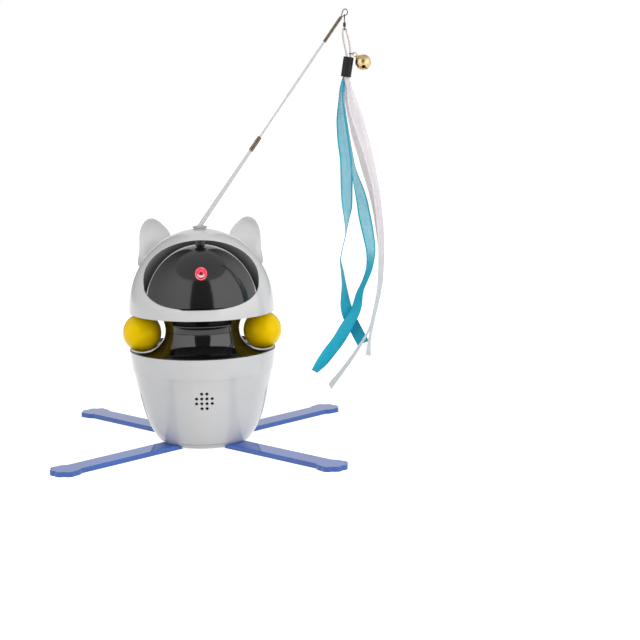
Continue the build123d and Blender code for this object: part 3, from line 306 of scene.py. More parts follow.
def turns(sides):
    """Angles of a full turn in equal steps."""
    return [2 * math.pi * side / sides for side in range(sides)]


def eased(share):
    """Smooth start and end for a share from 0 to 1."""
    return share * share * (3 - 2 * share)


def placed(name, data):
    """A new object in the scene."""
    made = bpy.data.objects.new(name, data)
    bpy.context.scene.collection.objects.link(made)
    return made


def dress(material, *names):
    """Gives CAD nodes their material."""
    for name in names:
        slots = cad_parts[name].data.materials
        slots.clear()
        slots.append(material)


def piece(name, mesh, body, material, slot, *nodes, smooth=True):
    """A finished mesh as a piece that rides on a body and stands for CAD nodes."""
    made = placed(name, mesh)
    mesh.materials.clear()
    mesh.materials.append(material)
    if smooth:
        mesh.shade_smooth()
    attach(made, body)
    if nodes:
        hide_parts(*nodes)
    return made


def copies_tree():
    """Geometry Nodes that set a template on each point, turned by the point's own turn."""
    tree = bpy.data.node_groups.new("copies", "GeometryNodeTree")
    for name, kind in (("Places", "Geometry"), ("Template", "Object"), ("Material", "Material")):
        tree.interface.new_socket(name, in_out="INPUT", socket_type="NodeSocket" + kind)
    tree.interface.new_socket("Copies", in_out="OUTPUT", socket_type="NodeSocketGeometry")
    enter = tree.nodes.new("NodeGroupInput")
    leave = tree.nodes.new("NodeGroupOutput")
    info = tree.nodes.new("GeometryNodeObjectInfo")
    turn = tree.nodes.new("GeometryNodeInputNamedAttribute")
    turn.data_type = "FLOAT_VECTOR"
    turn.inputs["Name"].default_value = "turn"
    copy = tree.nodes.new("GeometryNodeInstanceOnPoints")
    real = tree.nodes.new("GeometryNodeRealizeInstances")
    finish = tree.nodes.new("GeometryNodeSetMaterial")
    for start, end in (
        (enter.outputs["Places"], copy.inputs["Points"]),
        (enter.outputs["Template"], info.inputs["Object"]),
        (info.outputs["Geometry"], copy.inputs["Instance"]),
        (turn.outputs["Attribute"], copy.inputs["Rotation"]),
        (copy.outputs["Instances"], real.inputs["Geometry"]),
        (real.outputs["Geometry"], finish.inputs["Geometry"]),
        (enter.outputs["Material"], finish.inputs["Material"]),
        (finish.outputs["Geometry"], leave.inputs["Copies"]),
    ):
        tree.links.new(start, end)
    return tree


def repeated(name, places, template, material, body, slot, *nodes):
    """One piece made of copies of a template: places are rows of a point and its turn."""
    tree = bpy.data.node_groups.get("copies") or copies_tree()
    points = bpy.data.meshes.new(name + "_places")
    points.from_pydata([tuple(point) for point, _ in places], [], [])
    facing = points.attributes.new("turn", "FLOAT_VECTOR", "POINT")
    for row, (_, turn) in zip(facing.data, places):
        row.vector = tuple(turn)
    holder = placed(name + "_places", points)
    sample = placed(name + "_template", template)
    modifier = holder.modifiers.new("copies", "NODES")
    modifier.node_group = tree
    given = {"Template": sample, "Material": material}
    for socket in tree.interface.items_tree:
        if socket.in_out == "INPUT" and socket.name in given:
            modifier[socket.identifier] = given[socket.name]
    ready = bpy.context.evaluated_depsgraph_get()
    mesh = bpy.data.meshes.new_from_object(holder.evaluated_get(ready))
    mesh.name = name
    for made in (holder, sample):
        bpy.data.objects.remove(made)
    bpy.data.meshes.remove(points)
    bpy.data.meshes.remove(template)
    return piece(name, mesh, body, material, slot, *nodes)


# --- properties
def length_setting(name, description, default, least):
    """A size that a user can set, in metres."""
    return FloatProperty(
        name=name, description=description, default=default, min=least, subtype="DISTANCE", unit="LENGTH"
    )


def colour_setting(name, description, *display):
    """A colour that a user can set, given in display values from 0 to 255."""
    return FloatVectorProperty(
        name=name, description=description, default=tone(*display), subtype="COLOR", min=0.0, max=1.0
    )


class CatToySizes(bpy.types.PropertyGroup):
    ribbon_width: length_setting("Ribbon width", "Full width of each organza ribbon", 10 * MM, 2 * MM)
    ribbon_thickness: length_setting(
        "Ribbon thickness", "Thickness of the ribbon cloth", 0.14 * MM, 0.05 * MM
    )
    elastic_radius: length_setting(
        "Elastic radius", "Half the thickness of the elastic loop", 0.8 * MM, 0.2 * MM
    )
    picot_pitch: length_setting(
        "Picot pitch", "Distance between the loops along the edges of the white ribbons", 1.2 * MM, 0.6 * MM
    )
    picot_radius: length_setting(
        "Picot radius", "Radius of the loops along the edges of the white ribbons", 0.42 * MM, 0.2 * MM
    )
    screw_sides: IntProperty(
        name="Screw sides", description="Steps round each screw", default=48, min=16, max=96
    )


class CatToyColours(bpy.types.PropertyGroup):
    shell: colour_setting("Shell", "White plastic of the body and the head", 208, 208, 208)
    turret: colour_setting("Turret", "Glossy black plastic of the turret", 26, 26, 27)
    track: colour_setting("Neck", "Glossy black plastic of the neck and the ball track", 16, 16, 17)
    ball: colour_setting("Balls", "Yellow plastic of the rolling balls", 255, 208, 0)
    leg: colour_setting("Legs", "Blue plastic of the legs", 0, 84, 178)
    ribbon: colour_setting("Blue ribbons", "Colour of the blue organza", 0, 184, 214)
    bell: colour_setting("Bell", "Brass of the jingle bell", 208, 182, 136)


def chosen(name):
    """One of the colours that a user can set."""
    return tuple(getattr(bpy.context.scene.cat_toy_colours, name))


# --- stage
camera_place = Vector((-1.9, -1304.6, 310.4)) * MM
# Yaw, pitch and roll of the camera in degrees. The lens is given in pixels of the picture.
camera_turn = (-4.311, -9.233, 0.81)
focal_pixels = 1614.2
picture_pixels = 640
sensor_width = 36.0
# The floor, the cards above and behind the camera, and the lamps, in metres.
floor_reach = 12.0
canopy_reach = 3.0
canopy_height = 2.6
flag_reach = 1.9
flag_height = 3.2
flag_place = -2.0
lamp_size = 0.9
lamp_aim = Vector((0, 0, 0.12))


def level_square(reach, height):
    """Corners of a level square about the axis."""
    return [(x * reach, y * reach, height) for x, y in ((-1, -1), (1, -1), (1, 1), (-1, 1))]


def card(name, points, faces, material):
    """A thin stage piece."""
    mesh = bpy.data.meshes.new(name)
    mesh.from_pydata(points, [], faces)
    mesh.materials.append(material)
    made = placed(name, mesh)
    return made


def only_reflected(made):
    """Hides a card from everything but reflections."""
    for ray in ("camera", "diffuse", "shadow", "transmission"):
        setattr(made, "visible_" + ray, False)


def backdrop_paint(name, colour, strength):
    """Floor that keeps the shadows and shows as white paper."""
    paint = Paint(name)
    tree = paint.tree
    paper = step(tree, "ShaderNodeBsdfDiffuse", {}, {"Color": colour})
    path = tree.nodes.new("ShaderNodeLightPath")
    seen = Flow(tree, path.outputs["Is Camera Ray"]) + Flow(tree, path.outputs["Is Glossy Ray"])
    glow = step(tree, "ShaderNodeEmission", {}, {"Color": (1, 1, 1), "Strength": seen.held() * strength})
    return paint.end(step(tree, "ShaderNodeAddShader", {}, (paper, glow)))


def gloss_card(name, side, strength, back):
    """A curved card beside the toy that only reflections see, dimmer towards the back."""
    radius, height, parts = 2.1, 2.5, 30
    first, last = math.radians(24), math.radians(168)
    turned = [first + (last - first) * part / parts for part in range(parts + 1)]
    low = [(side * radius * math.sin(turn), -radius * math.cos(turn), 0.0) for turn in turned]
    high = [(x, y, height) for x, y, _ in low]
    faces = [(part, part + 1, part + parts + 2, part + parts + 1) for part in range(parts)]
    levels = [(0.0, back * 0.1), (0.065, back * 0.35), (0.14, back * 0.64), (0.25, back)]
    levels += [(0.5, 0.4 + back * 0.85), (0.75, 0.95), (1.0, 1.0)]
    stops = [(share, (level, level, level, 1)) for share, level in levels]
    paint = Paint(name)
    front = paint.parts(paint.place((1 / radius,) * 3))[1] * -0.5 + 0.5
    level = step(paint.tree, "ShaderNodeValToRGB", {"stops": stops}, (front,))
    only_reflected(card(name, low + high, faces, paint.glow(level, strength)))


def softbox(name, place, power):
    """A large soft lamp turned to the toy."""
    light = bpy.data.lights.new(name, "AREA")
    light.shape = "RECTANGLE"
    light.size = lamp_size
    light.size_y = lamp_size
    light.energy = power
    made = placed(name, light)
    made.location = place
    made.rotation_euler = (lamp_aim - Vector(place)).to_track_quat("-Z", "Y").to_euler()
    made.visible_camera = False
    made.visible_glossy = False


def studio_world():
    """White surroundings that light the toy less than they show."""
    world = bpy.data.worlds.new("studio_world")
    world.use_nodes = True
    tree = world.node_tree
    tree.nodes.clear()
    path = tree.nodes.new("ShaderNodeLightPath")
    seen = Flow(tree, path.outputs["Is Camera Ray"])
    for ray in ("Is Glossy Ray", "Is Transmission Ray"):
        seen = seen + Flow(tree, path.outputs[ray])
    strength = 0.62 + seen.held() * 0.38
    sky = step(tree, "ShaderNodeBackground", {}, {"Color": (1, 1, 1), "Strength": strength})
    end = tree.nodes.new("ShaderNodeOutputWorld")
    tree.links.new(sky.socket, end.inputs["Surface"])
    return world


def studio_camera():
    """The camera in front of the toy and above it, turned a little down."""
    lens = bpy.data.cameras.new("camera")
    lens.sensor_width = sensor_width
    lens.lens = focal_pixels / picture_pixels * sensor_width
    lens.clip_start, lens.clip_end = 0.05, 60.0
    camera = placed("camera", lens)
    yaw, pitch, roll = (math.radians(angle) for angle in camera_turn)
    turn = Matrix.Rotation(yaw, 4, "Z") @ Matrix.Rotation(pitch, 4, "X") @ Matrix.Rotation(roll, 4, "Y")
    level = Matrix.Rotation(math.radians(90), 4, "X")
    camera.matrix_world = Matrix.Translation(camera_place) @ turn @ level
    return camera


class CATTOY_OT_stage(bpy.types.Operator):
    """Make the floor, the lamps, the background and the camera"""

    bl_idname = "cattoy.stage"
    bl_label = "Studio and camera"

    def execute(self, context):
        scene = context.scene
        scene.view_settings.view_transform = "Standard"
        floor = backdrop_paint("studio_floor", (0.8, 0.8, 0.8), 0.72)
        card("studio_floor", level_square(floor_reach, 0), [(0, 1, 2, 3)], floor)
        sides = ((-1, 0), (1, 0), (1, 1), (-1, 1))
        flag = [(x * flag_reach, flag_place, z * flag_height) for x, z in sides]
        dark = Paint("studio_flag").glow((1, 1, 1), 0.10)
        only_reflected(card("studio_flag", flag, [(0, 1, 2, 3)], dark))
        gloss_card("softbox_card_left", -1, 2.0, 0.36)
        gloss_card("softbox_card_right", 1, 2.4, 0.5)
        dim = Paint("studio_canopy").glow((1, 1, 1), 0.85)
        canopy = level_square(canopy_reach, canopy_height)
        only_reflected(card("studio_canopy", canopy, [(0, 1, 2, 3)], dim))
        softbox("softbox_left", (-1.1, -1.55, 0.9), 9.0)
        softbox("softbox_right", (1.6, -1.1, 0.8), 15.0)
        scene.world = studio_world()
        scene.camera = studio_camera()
        return {"FINISHED"}


# --- elastic
# The elastic's path in mm, from the sleeve through the swivel and back: x, z.
elastic_route = [
    (121.35, 309.2), (120.3, 315.0), (118.9, 321.5), (118.0, 327.0), (118.0, 330.8), (118.25, 333.144),
    (120.5, 333.144), (120.85, 330.8), (121.9, 327.0), (123.2, 321.5), (123.85, 315.0), (124.0, 308.8),
]
elastic_rib = 0.8 * MM


def elastic_paint():
    """Milky elastic with a faint round gloss and fine ribs."""
    paint = Paint("elastic")
    ribs = paint.height()
    wave = (ribs * (2 * math.pi / elastic_rib)).sine() * 0.5 + 0.5
    cloud = paint.cloud(1.5 * MM, 3.0)
    body = paint.blend(cloud.ramped(0.3, 0.75), tone(204, 196, 194), tone(222, 214, 212))
    return paint.surface(
        base_color=body,
        roughness=0.38 + cloud * 0.16,
        alpha=0.9 + cloud * 0.1,
        subsurface_weight=0.25,
        subsurface_radius=(MM, MM, MM),
        normal=paint.relief(wave, 0.008 * MM),
    )


class CATTOY_OT_elastic(bpy.types.Operator):
    """Make the elastic loop that carries the lure"""

    bl_idname = "cattoy.elastic"
    bl_label = "Elastic loop"

    def execute(self, context):
        sizes = context.scene.cat_toy_sizes
        curve = bpy.data.curves.new("elastic_cord", "CURVE")
        curve.dimensions = "3D"
        spline = curve.splines.new("NURBS")
        spline.points.add(len(elastic_route) - 1)
        for point, (x, z) in zip(spline.points, elastic_route):
            point.co = (x * MM, 0, z * MM, 1)
        spline.order_u = 3
        spline.use_endpoint_u = True
        spline.resolution_u = 12
        curve.bevel_depth = sizes.elastic_radius
        curve.bevel_resolution = 5
        curve.use_fill_caps = True
        curve.materials.append(elastic_paint())
        cord = placed("elastic_cord", curve)
        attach(cord, "lure")
        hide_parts("elastic_loop")
        return {"FINISHED"}


# --- hard pieces
class CATTOY_OT_shells(bpy.types.Operator):
    """Finish the white shells of the body, the head and the base plate"""

    bl_idname = "cattoy.shells"
    bl_label = "White shells"

    def execute(self, context):
        white = moulded("shell_plastic", chosen("shell"), edge=0.5)
        dress(white, "body_shell", "head_shell", "base_plate")
        # The head stays out of reflections, so that the turret shows the lamps up to its own edge.
        for name in ("head_shell", "head_liner"):
            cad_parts[name].visible_glossy = False
        return {"FINISHED"}


class CATTOY_OT_neck(bpy.types.Operator):
    """Finish the black ball track and the dark inside of the head"""

    bl_idname = "cattoy.neck"
    bl_label = "Neck and ball track"

    def execute(self, context):
        black = moulded("track_plastic", chosen("track"), coat_weight=0.4, coat_roughness=0.05)
        dress(black, "track_upper", "track_lower")
        liner = moulded("liner_plastic", tone(40, 40, 41))
        dress(liner, "head_liner", "turret_plate")
        return {"FINISHED"}


class CATTOY_OT_balls(bpy.types.Operator):
    """Finish the two rolling balls"""

    bl_idname = "cattoy.balls"
    bl_label = "Rolling balls"

    def execute(self, context):
        yellow = moulded(
            "ball_plastic", chosen("ball"), specular_ior_level=0.3, specular_tint=(1.0, 0.8, 0.1, 1.0)
        )
        dress(yellow, "ball_left", "ball_right")
        return {"FINISHED"}


class CATTOY_OT_turret(bpy.types.Operator):
    """Finish the turret shell"""

    bl_idname = "cattoy.turret"
    bl_label = "Turret"

    def execute(self, context):
        black = moulded("turret_plastic", chosen("turret"))
        dress(black, "turret_shell")
        return {"FINISHED"}


# Heights in mm between which the laser eye's glow turns from red to nearly white.
eye_glow_low = 143.4
eye_glow_high = 140.4


class CATTOY_OT_laser(bpy.types.Operator):
    """Finish the laser eye, its glowing ring and its lens"""

    bl_idname = "cattoy.laser"
    bl_label = "Laser eye"

    def execute(self, context):
        paint = Paint("bezel_glow")
        cloud = paint.cloud(1.2 * MM, 3.0)
        body = paint.blend(cloud.ramped(0.3, 0.7), tone(226, 40, 62), tone(255, 110, 128))
        glow = paint.blend(cloud.ramped(0.35, 0.8), tone(255, 30, 60), tone(255, 160, 170))
        ring = paint.skin(body, cloud, 0.25, 0.1, 0.01, emission_color=glow, emission_strength=0.55)
        dress(ring, "laser_bezel")
        eye = Paint("eye_glow")
        cloud = eye.cloud(0.9 * MM, 3.0)
        hot = eye.height().ramped(eye_glow_low * MM, eye_glow_high * MM)
        body = eye.blend(cloud.ramped(0.3, 0.7), tone(214, 40, 66), tone(240, 90, 112))
        glow = eye.blend(hot, tone(236, 42, 72), tone(255, 226, 230))
        ball = eye.skin(body, cloud, 0.3, 0.1, 0.01, emission_color=glow, emission_strength=0.75)
        dress(ball, "laser_eye")
        red = moulded("socket_plastic", tone(34, 12, 15))
        dress(red, "eye_socket")
        dress(metal("module_brass", tone(70, 22, 20), roughness=0.45), "laser_module")
        lens = Paint("lens_resin")
        fine = lens.cloud(0.6 * MM, 2.0)
        body = lens.blend(fine, tone(60, 0, 6), tone(120, 6, 16))
        dress(lens.skin(body, fine, 0.06, 0.05, 0.002), "laser_lens")
        return {"FINISHED"}


class CATTOY_OT_legs(bpy.types.Operator):
    """Finish the four plug-in legs"""

    bl_idname = "cattoy.legs"
    bl_label = "Legs"

    def execute(self, context):
        blue = moulded("leg_plastic", chosen("leg"), edge=0.3, specular_ior_level=0.75)
        dress(blue, "leg_front_left", "leg_front_right", "leg_back_left", "leg_back_right")
        return {"FINISHED"}


# The wand's sizes in mm, with its places along its line from the root.
wand_root = Vector((0, 0, 177.3))
wand_lean = math.radians(54.7)
wand_way = Vector((math.cos(wand_lean), 0, math.sin(wand_lean)))
tube_radius, tube_tip_radius = 1.9, 1.36
tube_start, tube_taper_start, tube_end = -2.9, 6.0, 77.6
tube_lip = [(1.25, 77.95), (0.92, 78.0)]
rod_radius, rod_start, rod_end = 0.9, 40.3, 189.9
rod_point = (0.7, 40.0)
collar_radius, collar_start, collar_end = 1.9, 73.4, 86.7
crimp_radius, crimp_start, crimp_end = 1.35, 178.2, 201.8
tip_wire_radius = 0.38
cap_top = 175.3
# The tip loop's wire in mm, from the crimp over the top and back into the crimp: x, z.
tip_loop_route = [
    (116.3, 341.5), (116.9, 343.2), (117.5, 345.2), (118.2, 346.9), (119.3, 348.1), (120.5, 348.3),
    (121.5, 347.5), (121.9, 346.1), (121.7, 344.8), (120.8, 343.8), (119.5, 343.3), (118.2, 342.8),
    (117.2, 342.1), (116.6, 341.2),
]


def turned_mesh(name, outline, start, way, sides=40):
    """A piece turned about a line: (radius, distance along it) in mm, with smooth close rings."""
    turn = way.to_track_quat("Z", "Y").to_matrix()
    rings = []
    for radius, along in outline:
        around = [Vector((radius * math.cos(a), radius * math.sin(a), along)) for a in turns(sides)]
        rings.append([(start + turn @ point) * MM for point in around])
    mesh = skin_rings(name, rings)
    mesh.shade_smooth()
    mesh.set_sharp_from_angle(angle=math.radians(38))
    return mesh


def run(start, end, count):
    """Outline rings from one to another: (radius, distance)."""
    shares = [part / count for part in range(count + 1)]
    return [tuple(low + (high - low) * share for low, high in zip(start, end)) for share in shares]


def collar_outline(radius, low, high, ridge, ridges):
    """A crimped metal collar with rolled ends and shallow ridges, in mm."""
    lip, roll = 0.3, 0.08
    steps = ridges * 8
    outline = [(radius - lip, low), (radius - roll, low + roll), (radius, low + lip)]
    for part in range(1, steps):
        share = part / steps
        wave = math.sin(share * ridges * 2 * math.pi)
        outline.append((radius - ridge * (0.5 - 0.5 * wave), low + lip + (high - low - 2 * lip) * share))
    return outline + [(radius, high - lip), (radius - roll, high - roll), (radius - lip, high)]


def wire_mesh(name, route, radius, parts=6, sides=16):
    """A round wire along a flat route, in mm."""
    stations = [Vector((x, 0, z)) for x, z in smooth_stations(route, parts)]
    side_way = Vector((0, 1, 0))
    rings = []
    for before, here, after in zip([stations[0], *stations], stations, [*stations[1:], stations[-1]]):
        across = side_way.cross((after - before).normalized())
        around = [across * math.cos(a) + side_way * math.sin(a) for a in turns(sides)]
        rings.append([(here + out * radius) * MM for out in around])
    return skin_rings(name, rings)


class CATTOY_OT_wand(bpy.types.Operator):
    """Make the wand's tube, collar, rod and tip, and finish its cap and the steel wire pieces"""

    bl_idname = "cattoy.wand"
    bl_label = "Wand"

    def execute(self, context):
        white = moulded("wand_plastic", tone(205, 205, 206))
        cap = Paint("cap_plastic")
        cloud = cap.cloud(3 * MM, 3.0)
        # Below the cap's top the piece is painted near black: painted shade on the stem where it goes down
        # into the head.
        stem_shade_mask = cap.height().ramped((cap_top - 0.4) * MM, cap_top * MM)
        body = cap.blend(cloud, tone(148, 149, 151), tone(166, 167, 169))
        body = cap.blend(stem_shade_mask, tone(22, 22, 23), body)
        dress(cap.skin(body, cloud, 0.38, 0.1, 0.004), "wand_socket")
        bronze = metal("collar_bronze", tone(124, 112, 102), roughness=0.22, stretch=(1, 1, 6), tarnish=0.3)
        steel = metal("wire_steel", tone(84, 80, 76), roughness=0.26, stretch=(1, 1, 4))
        tube = run((tube_radius, tube_start), (tube_radius, tube_taper_start), 8)
        tube += run((tube_radius, tube_taper_start), (tube_tip_radius, tube_end), 60)[1:] + tube_lip
        rod = [rod_point] + run((rod_radius, rod_start), (rod_radius, rod_end), 110)
        collar = collar_outline(collar_radius, collar_start, collar_end, ridge=0.1, ridges=2)
        crimp = collar_outline(crimp_radius, crimp_start, crimp_end, ridge=0.08, ridges=5)
        rows = [
            ("wand_outer_tube", tube, white, "wand_white", "wand", "wand_tube"),
            ("wand_collar", collar, bronze, "ferrule_bronze", "wand", "wand_ferrule"),
            ("wand_inner_rod", rod, white, "wand_white", "wand_tip", "wand_rod"),
            ("wand_tip_crimp", crimp, bronze, "ferrule_bronze", "wand_tip", "wand_tip_sleeve"),
        ]
        for name, outline, paint, slot, body_name, node in rows:
            mesh = turned_mesh(name, outline, wand_root, wand_way)
            piece(name, mesh, body_name, paint, slot, node, smooth=False)
        wire = wire_mesh("wand_tip_wire", tip_loop_route, tip_wire_radius)
        piece("wand_tip_wire", wire, "wand_tip", steel, "steel_wire", "wand_tip_loop")
        dress(steel, "swivel_eye", "swivel_hook", "bell_ring", "bell_pellet", "turret_clip")
        return {"FINISHED"}


class CATTOY_OT_sleeve(bpy.types.Operator):
    """Finish the black sleeve and the bundle inside it"""

    bl_idname = "cattoy.sleeve"
    bl_label = "Lure sleeve"

    def execute(self, context):
        rubber = moulded("sleeve_rubber", tone(18, 18, 19), specular_ior_level=0.25)
        dress(rubber, "lure_sleeve")
        bundle = Paint("bundle_cloth")
        weave = bundle.cells(0.4 * MM)
        body = bundle.blend(weave.ramped(0.2, 0.7), tone(180, 205, 215), tone(90, 150, 175))
        dress(bundle.skin(body, weave, 0.7, 0.2, 0.06), "ribbon_bundle")
        return {"FINISHED"}


class CATTOY_OT_bell(bpy.types.Operator):
    """Finish the jingle bell"""

    bl_idname = "cattoy.bell"
    bl_label = "Jingle bell"

    def execute(self, context):
        brass = metal(
            "bell_brass", chosen("bell"), roughness=0.28, stretch=(6, 6, 6), tarnish=0.14, depth=0.002
        )
        dress(brass, "bell_shell")
        return {"FINISHED"}


# --- ribbons
# Stations of each ribbon in mm: x, y, z and the turn of its flat side in degrees.
blue_short_route = [
    (117.1, 3.6, 286.0, 52), (116.0, 5.0, 276.0, 62), (116.3, 5.8, 268.0, 46), (116.8, 6.4, 258.0, 26),
    (118.1, 6.8, 243.0, 10), (119.9, 7.0, 229.0, 4), (120.3, 7.0, 214.0, 0), (120.3, 6.8, 200.0, 14),
    (120.5, 6.4, 190.0, 29), (120.1, 6.0, 182.0, 53), (119.6, 5.6, 174.0, 70), (118.6, 5.4, 165.5, 80),
    (116.2, 5.0, 155.5, 81), (114.4, 4.6, 146.0, 79), (115.5, 4.2, 138.0, 73), (116.8, 4.0, 127.0, 64),
    (117.4, 3.8, 117.5, 46), (118.2, 3.6, 108.5, 23), (120.5, 3.6, 100.0, 4), (125.6, 3.4, 90.0, 0),
    (132.2, 3.2, 76.8, 0),
]
blue_long_route = [
    (118.5, 0.6, 286.0, 56), (117.9, 0.4, 276.0, 72), (118.9, 0.4, 266.0, 73), (120.2, 0.4, 256.0, 72),
    (122.0, 0.4, 244.0, 71), (123.6, 0.4, 233.0, 68), (125.0, 0.4, 223.0, 63), (127.2, 0.4, 213.6, 51),
    (129.9, 0.3, 204.0, 34), (132.2, 0.2, 194.0, 18), (133.6, 0.1, 185.0, 4), (135.6, 0.0, 174.5, -14),
    (137.4, -0.2, 164.5, -30), (138.7, -0.6, 155.0, -44), (138.3, -1.2, 146.0, -58),
    (136.9, -2.0, 138.5, -66), (133.7, -2.8, 130.3, -71), (131.0, -3.4, 124.5, -70),
    (128.9, -3.8, 119.0, -62), (127.3, -4.0, 111.5, -50), (125.2, -4.0, 105.0, -42),
    (121.0, -4.0, 97.4, -30), (116.0, -3.8, 89.0, -14), (110.6, -3.6, 80.4, 0), (104.6, -3.6, 72.8, 0),
    (98.0, -3.6, 64.2, 12), (91.0, -3.6, 55.6, 42),
]
white_short_route = [
    (121.6, -1.0, 286.0, 48), (121.8, -1.8, 278.0, 44), (123.8, -2.4, 269.5, 34),
    (126.0, -3.0, 261.0, 20), (128.8, -3.8, 247.5, 16), (133.2, -4.4, 232.5, 20),
    (136.6, -4.8, 218.5, 29), (140.1, -5.2, 205.0, 39), (143.2, -5.6, 189.5, 45),
    (145.2, -5.9, 175.0, 48), (146.3, -6.2, 161.5, 56), (146.7, -6.0, 147.0, 60),
    (146.3, -5.6, 133.0, 63), (145.0, -5.0, 122.0, 63), (142.8, -4.4, 111.0, 65),
    (140.0, -3.4, 97.0, 68), (137.9, -3.2, 86.6, 70), (136.3, -3.2, 77.0, 68), (135.6, -3.2, 67.6, 58),
]
white_long_route = [
    (122.6, -2.4, 286.0, 46), (124.1, -4.0, 278.0, 38), (126.2, -5.2, 269.5, 24),
    (128.7, -6.2, 261.0, 16), (132.4, -7.4, 248.0, 28), (136.5, -8.6, 233.0, 38),
    (139.8, -9.4, 218.5, 47), (142.6, -10.0, 204.5, 52), (144.3, -10.6, 189.5, 53),
    (145.6, -11.2, 175.0, 54), (146.1, -11.8, 161.0, 56), (146.0, -12.2, 147.0, 57),
    (145.2, -12.6, 132.5, 60), (143.8, -13.2, 122.0, 62), (141.4, -13.8, 111.0, 64),
    (137.6, -14.4, 96.5, 67), (133.2, -14.4, 87.0, 68), (127.2, -13.6, 77.2, 62),
    (120.6, -13.0, 67.3, 58), (113.4, -12.6, 57.6, 54), (105.4, -12.4, 47.6, 48),
    (102.9, -12.4, 44.2, 48),
]
sleeve_top = Vector((122.5, 0, 310.6))
sleeve_lean = math.radians(9)
sleeve_axis = Vector((math.sin(sleeve_lean), 0, math.cos(sleeve_lean)))
ribbon_hold_depth = 14.5
ribbon_hold_spread = 1.2
# How far a ribbon is gathered in the sleeve, and the lengths over which it opens, waves and is cut.
gathered_share = 0.4
opening_length = 26 * MM
wave_length = 31 * MM
cut_length = 6 * MM
# The picot loops start and stop this far from a ribbon's ends.
picot_start = 12 * MM
picot_stop = 2 * MM
picot_thread = 0.1 * MM
# Threads over a ribbon's width, and where its tail's colour starts, in widths.
threads_across = 27
tail_start = 14.0


def between(before, here, after, later, share):
    """Smooth value between two stations, with the stations beside them."""
    return 0.5 * (
        2 * here
        + (after - before) * share
        + (2 * before - 5 * here + 4 * after - later) * share**2
        + (3 * here - before - 3 * after + later) * share**3
    )


def smooth_stations(route, parts=5):
    """The route's stations with smooth ones between them."""
    rows = [route[0], *route, route[-1]]
    found = []
    for index in range(1, len(rows) - 2):
        for part in range(parts):
            four = rows[index - 1 : index + 3]
            found.append(tuple(between(*values, part / parts) for values in zip(*four)))
    found.append(tuple(route[-1]))
    return found


def ribbon_mesh(name, route, order, width, cup, slant, columns=10):
    """A cloth strip through the stations, with across and along in its own map. Also gives its
    length and, for each row, how far along it is, its two edge points and its two directions."""
    start = sleeve_top - sleeve_axis * ribbon_hold_depth
    stations = smooth_stations([(start.x, (1.5 - order) * ribbon_hold_spread, start.z, 0), *route])
    points = [Vector(row[:3]) * MM for row in stations]
    lengths = [0.0]
    for first, second in zip(points, points[1:]):
        lengths.append(lengths[-1] + (second - first).length)
    mesh = bpy.data.meshes.new(name)
    form = bmesh.new()
    layer = form.loops.layers.uv.new("cloth")
    grid, edges = [], []
    for index, point in enumerate(points):
        before = points[max(index - 1, 0)]
        after = points[min(index + 1, len(points) - 1)]
        down = (after - before).normalized()
        turn = math.radians(stations[index][3])
        flat = Vector((math.cos(turn), math.sin(turn), 0))
        flat = (flat - down * flat.dot(down)).normalized()
        face = down.cross(flat)
        opened = eased(min(1.0, lengths[index] / opening_length))
        full = width * (gathered_share + (1 - gathered_share) * opened)
        end = max(0.0, 1 - (lengths[-1] - lengths[index]) / cut_length)
        row = []
        for column in range(columns + 1):
            share = column / columns
            side = share - 0.5
            bow = cup * (1 - 4 * side * side) * math.sin(lengths[index] / wave_length + order)
            place = point + flat * side * full + face * bow
            place += down * slant * side * full * end
            row.append((form.verts.new(place), share, lengths[index] / width))
        grid.append(row)
        edges.append((lengths[index], row[0][0].co.copy(), row[-1][0].co.copy(), flat, face))
    for upper, lower in zip(grid, grid[1:]):
        for column in range(columns):
            corners = [upper[column], upper[column + 1], lower[column + 1], lower[column]]
            face = form.faces.new([corner[0] for corner in corners])
            for loop, corner in zip(face.loops, corners):
                loop[layer].uv = (corner[1], corner[2])
    form.to_mesh(mesh)
    form.free()
    return mesh, lengths[-1], edges


def picot_places(edges, pitch):
    """Places and turns of the loops along both edges of a ribbon."""
    found = []
    reach, index = edges[0][0] + picot_start, 0
    while reach < edges[-1][0] - picot_stop:
        while edges[index + 1][0] < reach:
            index += 1
        low, high = edges[index], edges[index + 1]
        share = (reach - low[0]) / (high[0] - low[0])
        flat = low[3].lerp(high[3], share).normalized()
        face = low[4].lerp(high[4], share).normalized()
        for side, outward in ((1, -flat), (2, flat)):
            turn = Matrix((outward, face.cross(outward), face)).transposed().to_euler()
            found.append((low[side].lerp(high[side], share), turn))
        reach += pitch
    return found


def picot_mesh(name, radius, wire, parts=9, sides=5):
    """One open loop of thread that stands outwards along X."""
    half_turn, flattened = math.radians(112), 0.85
    foot = Vector((radius * 0.3, 0, 0))
    rings = []
    for part in range(parts + 1):
        angle = half_turn - 2 * half_turn * part / parts
        out = Vector((math.cos(angle), math.sin(angle) * flattened, 0))
        around = [out * math.cos(a) * wire + Vector((0, 0, math.sin(a) * wire)) for a in turns(sides)]
        rings.append([foot + out * radius + point for point in around])
    return skin_rings(name, rings)


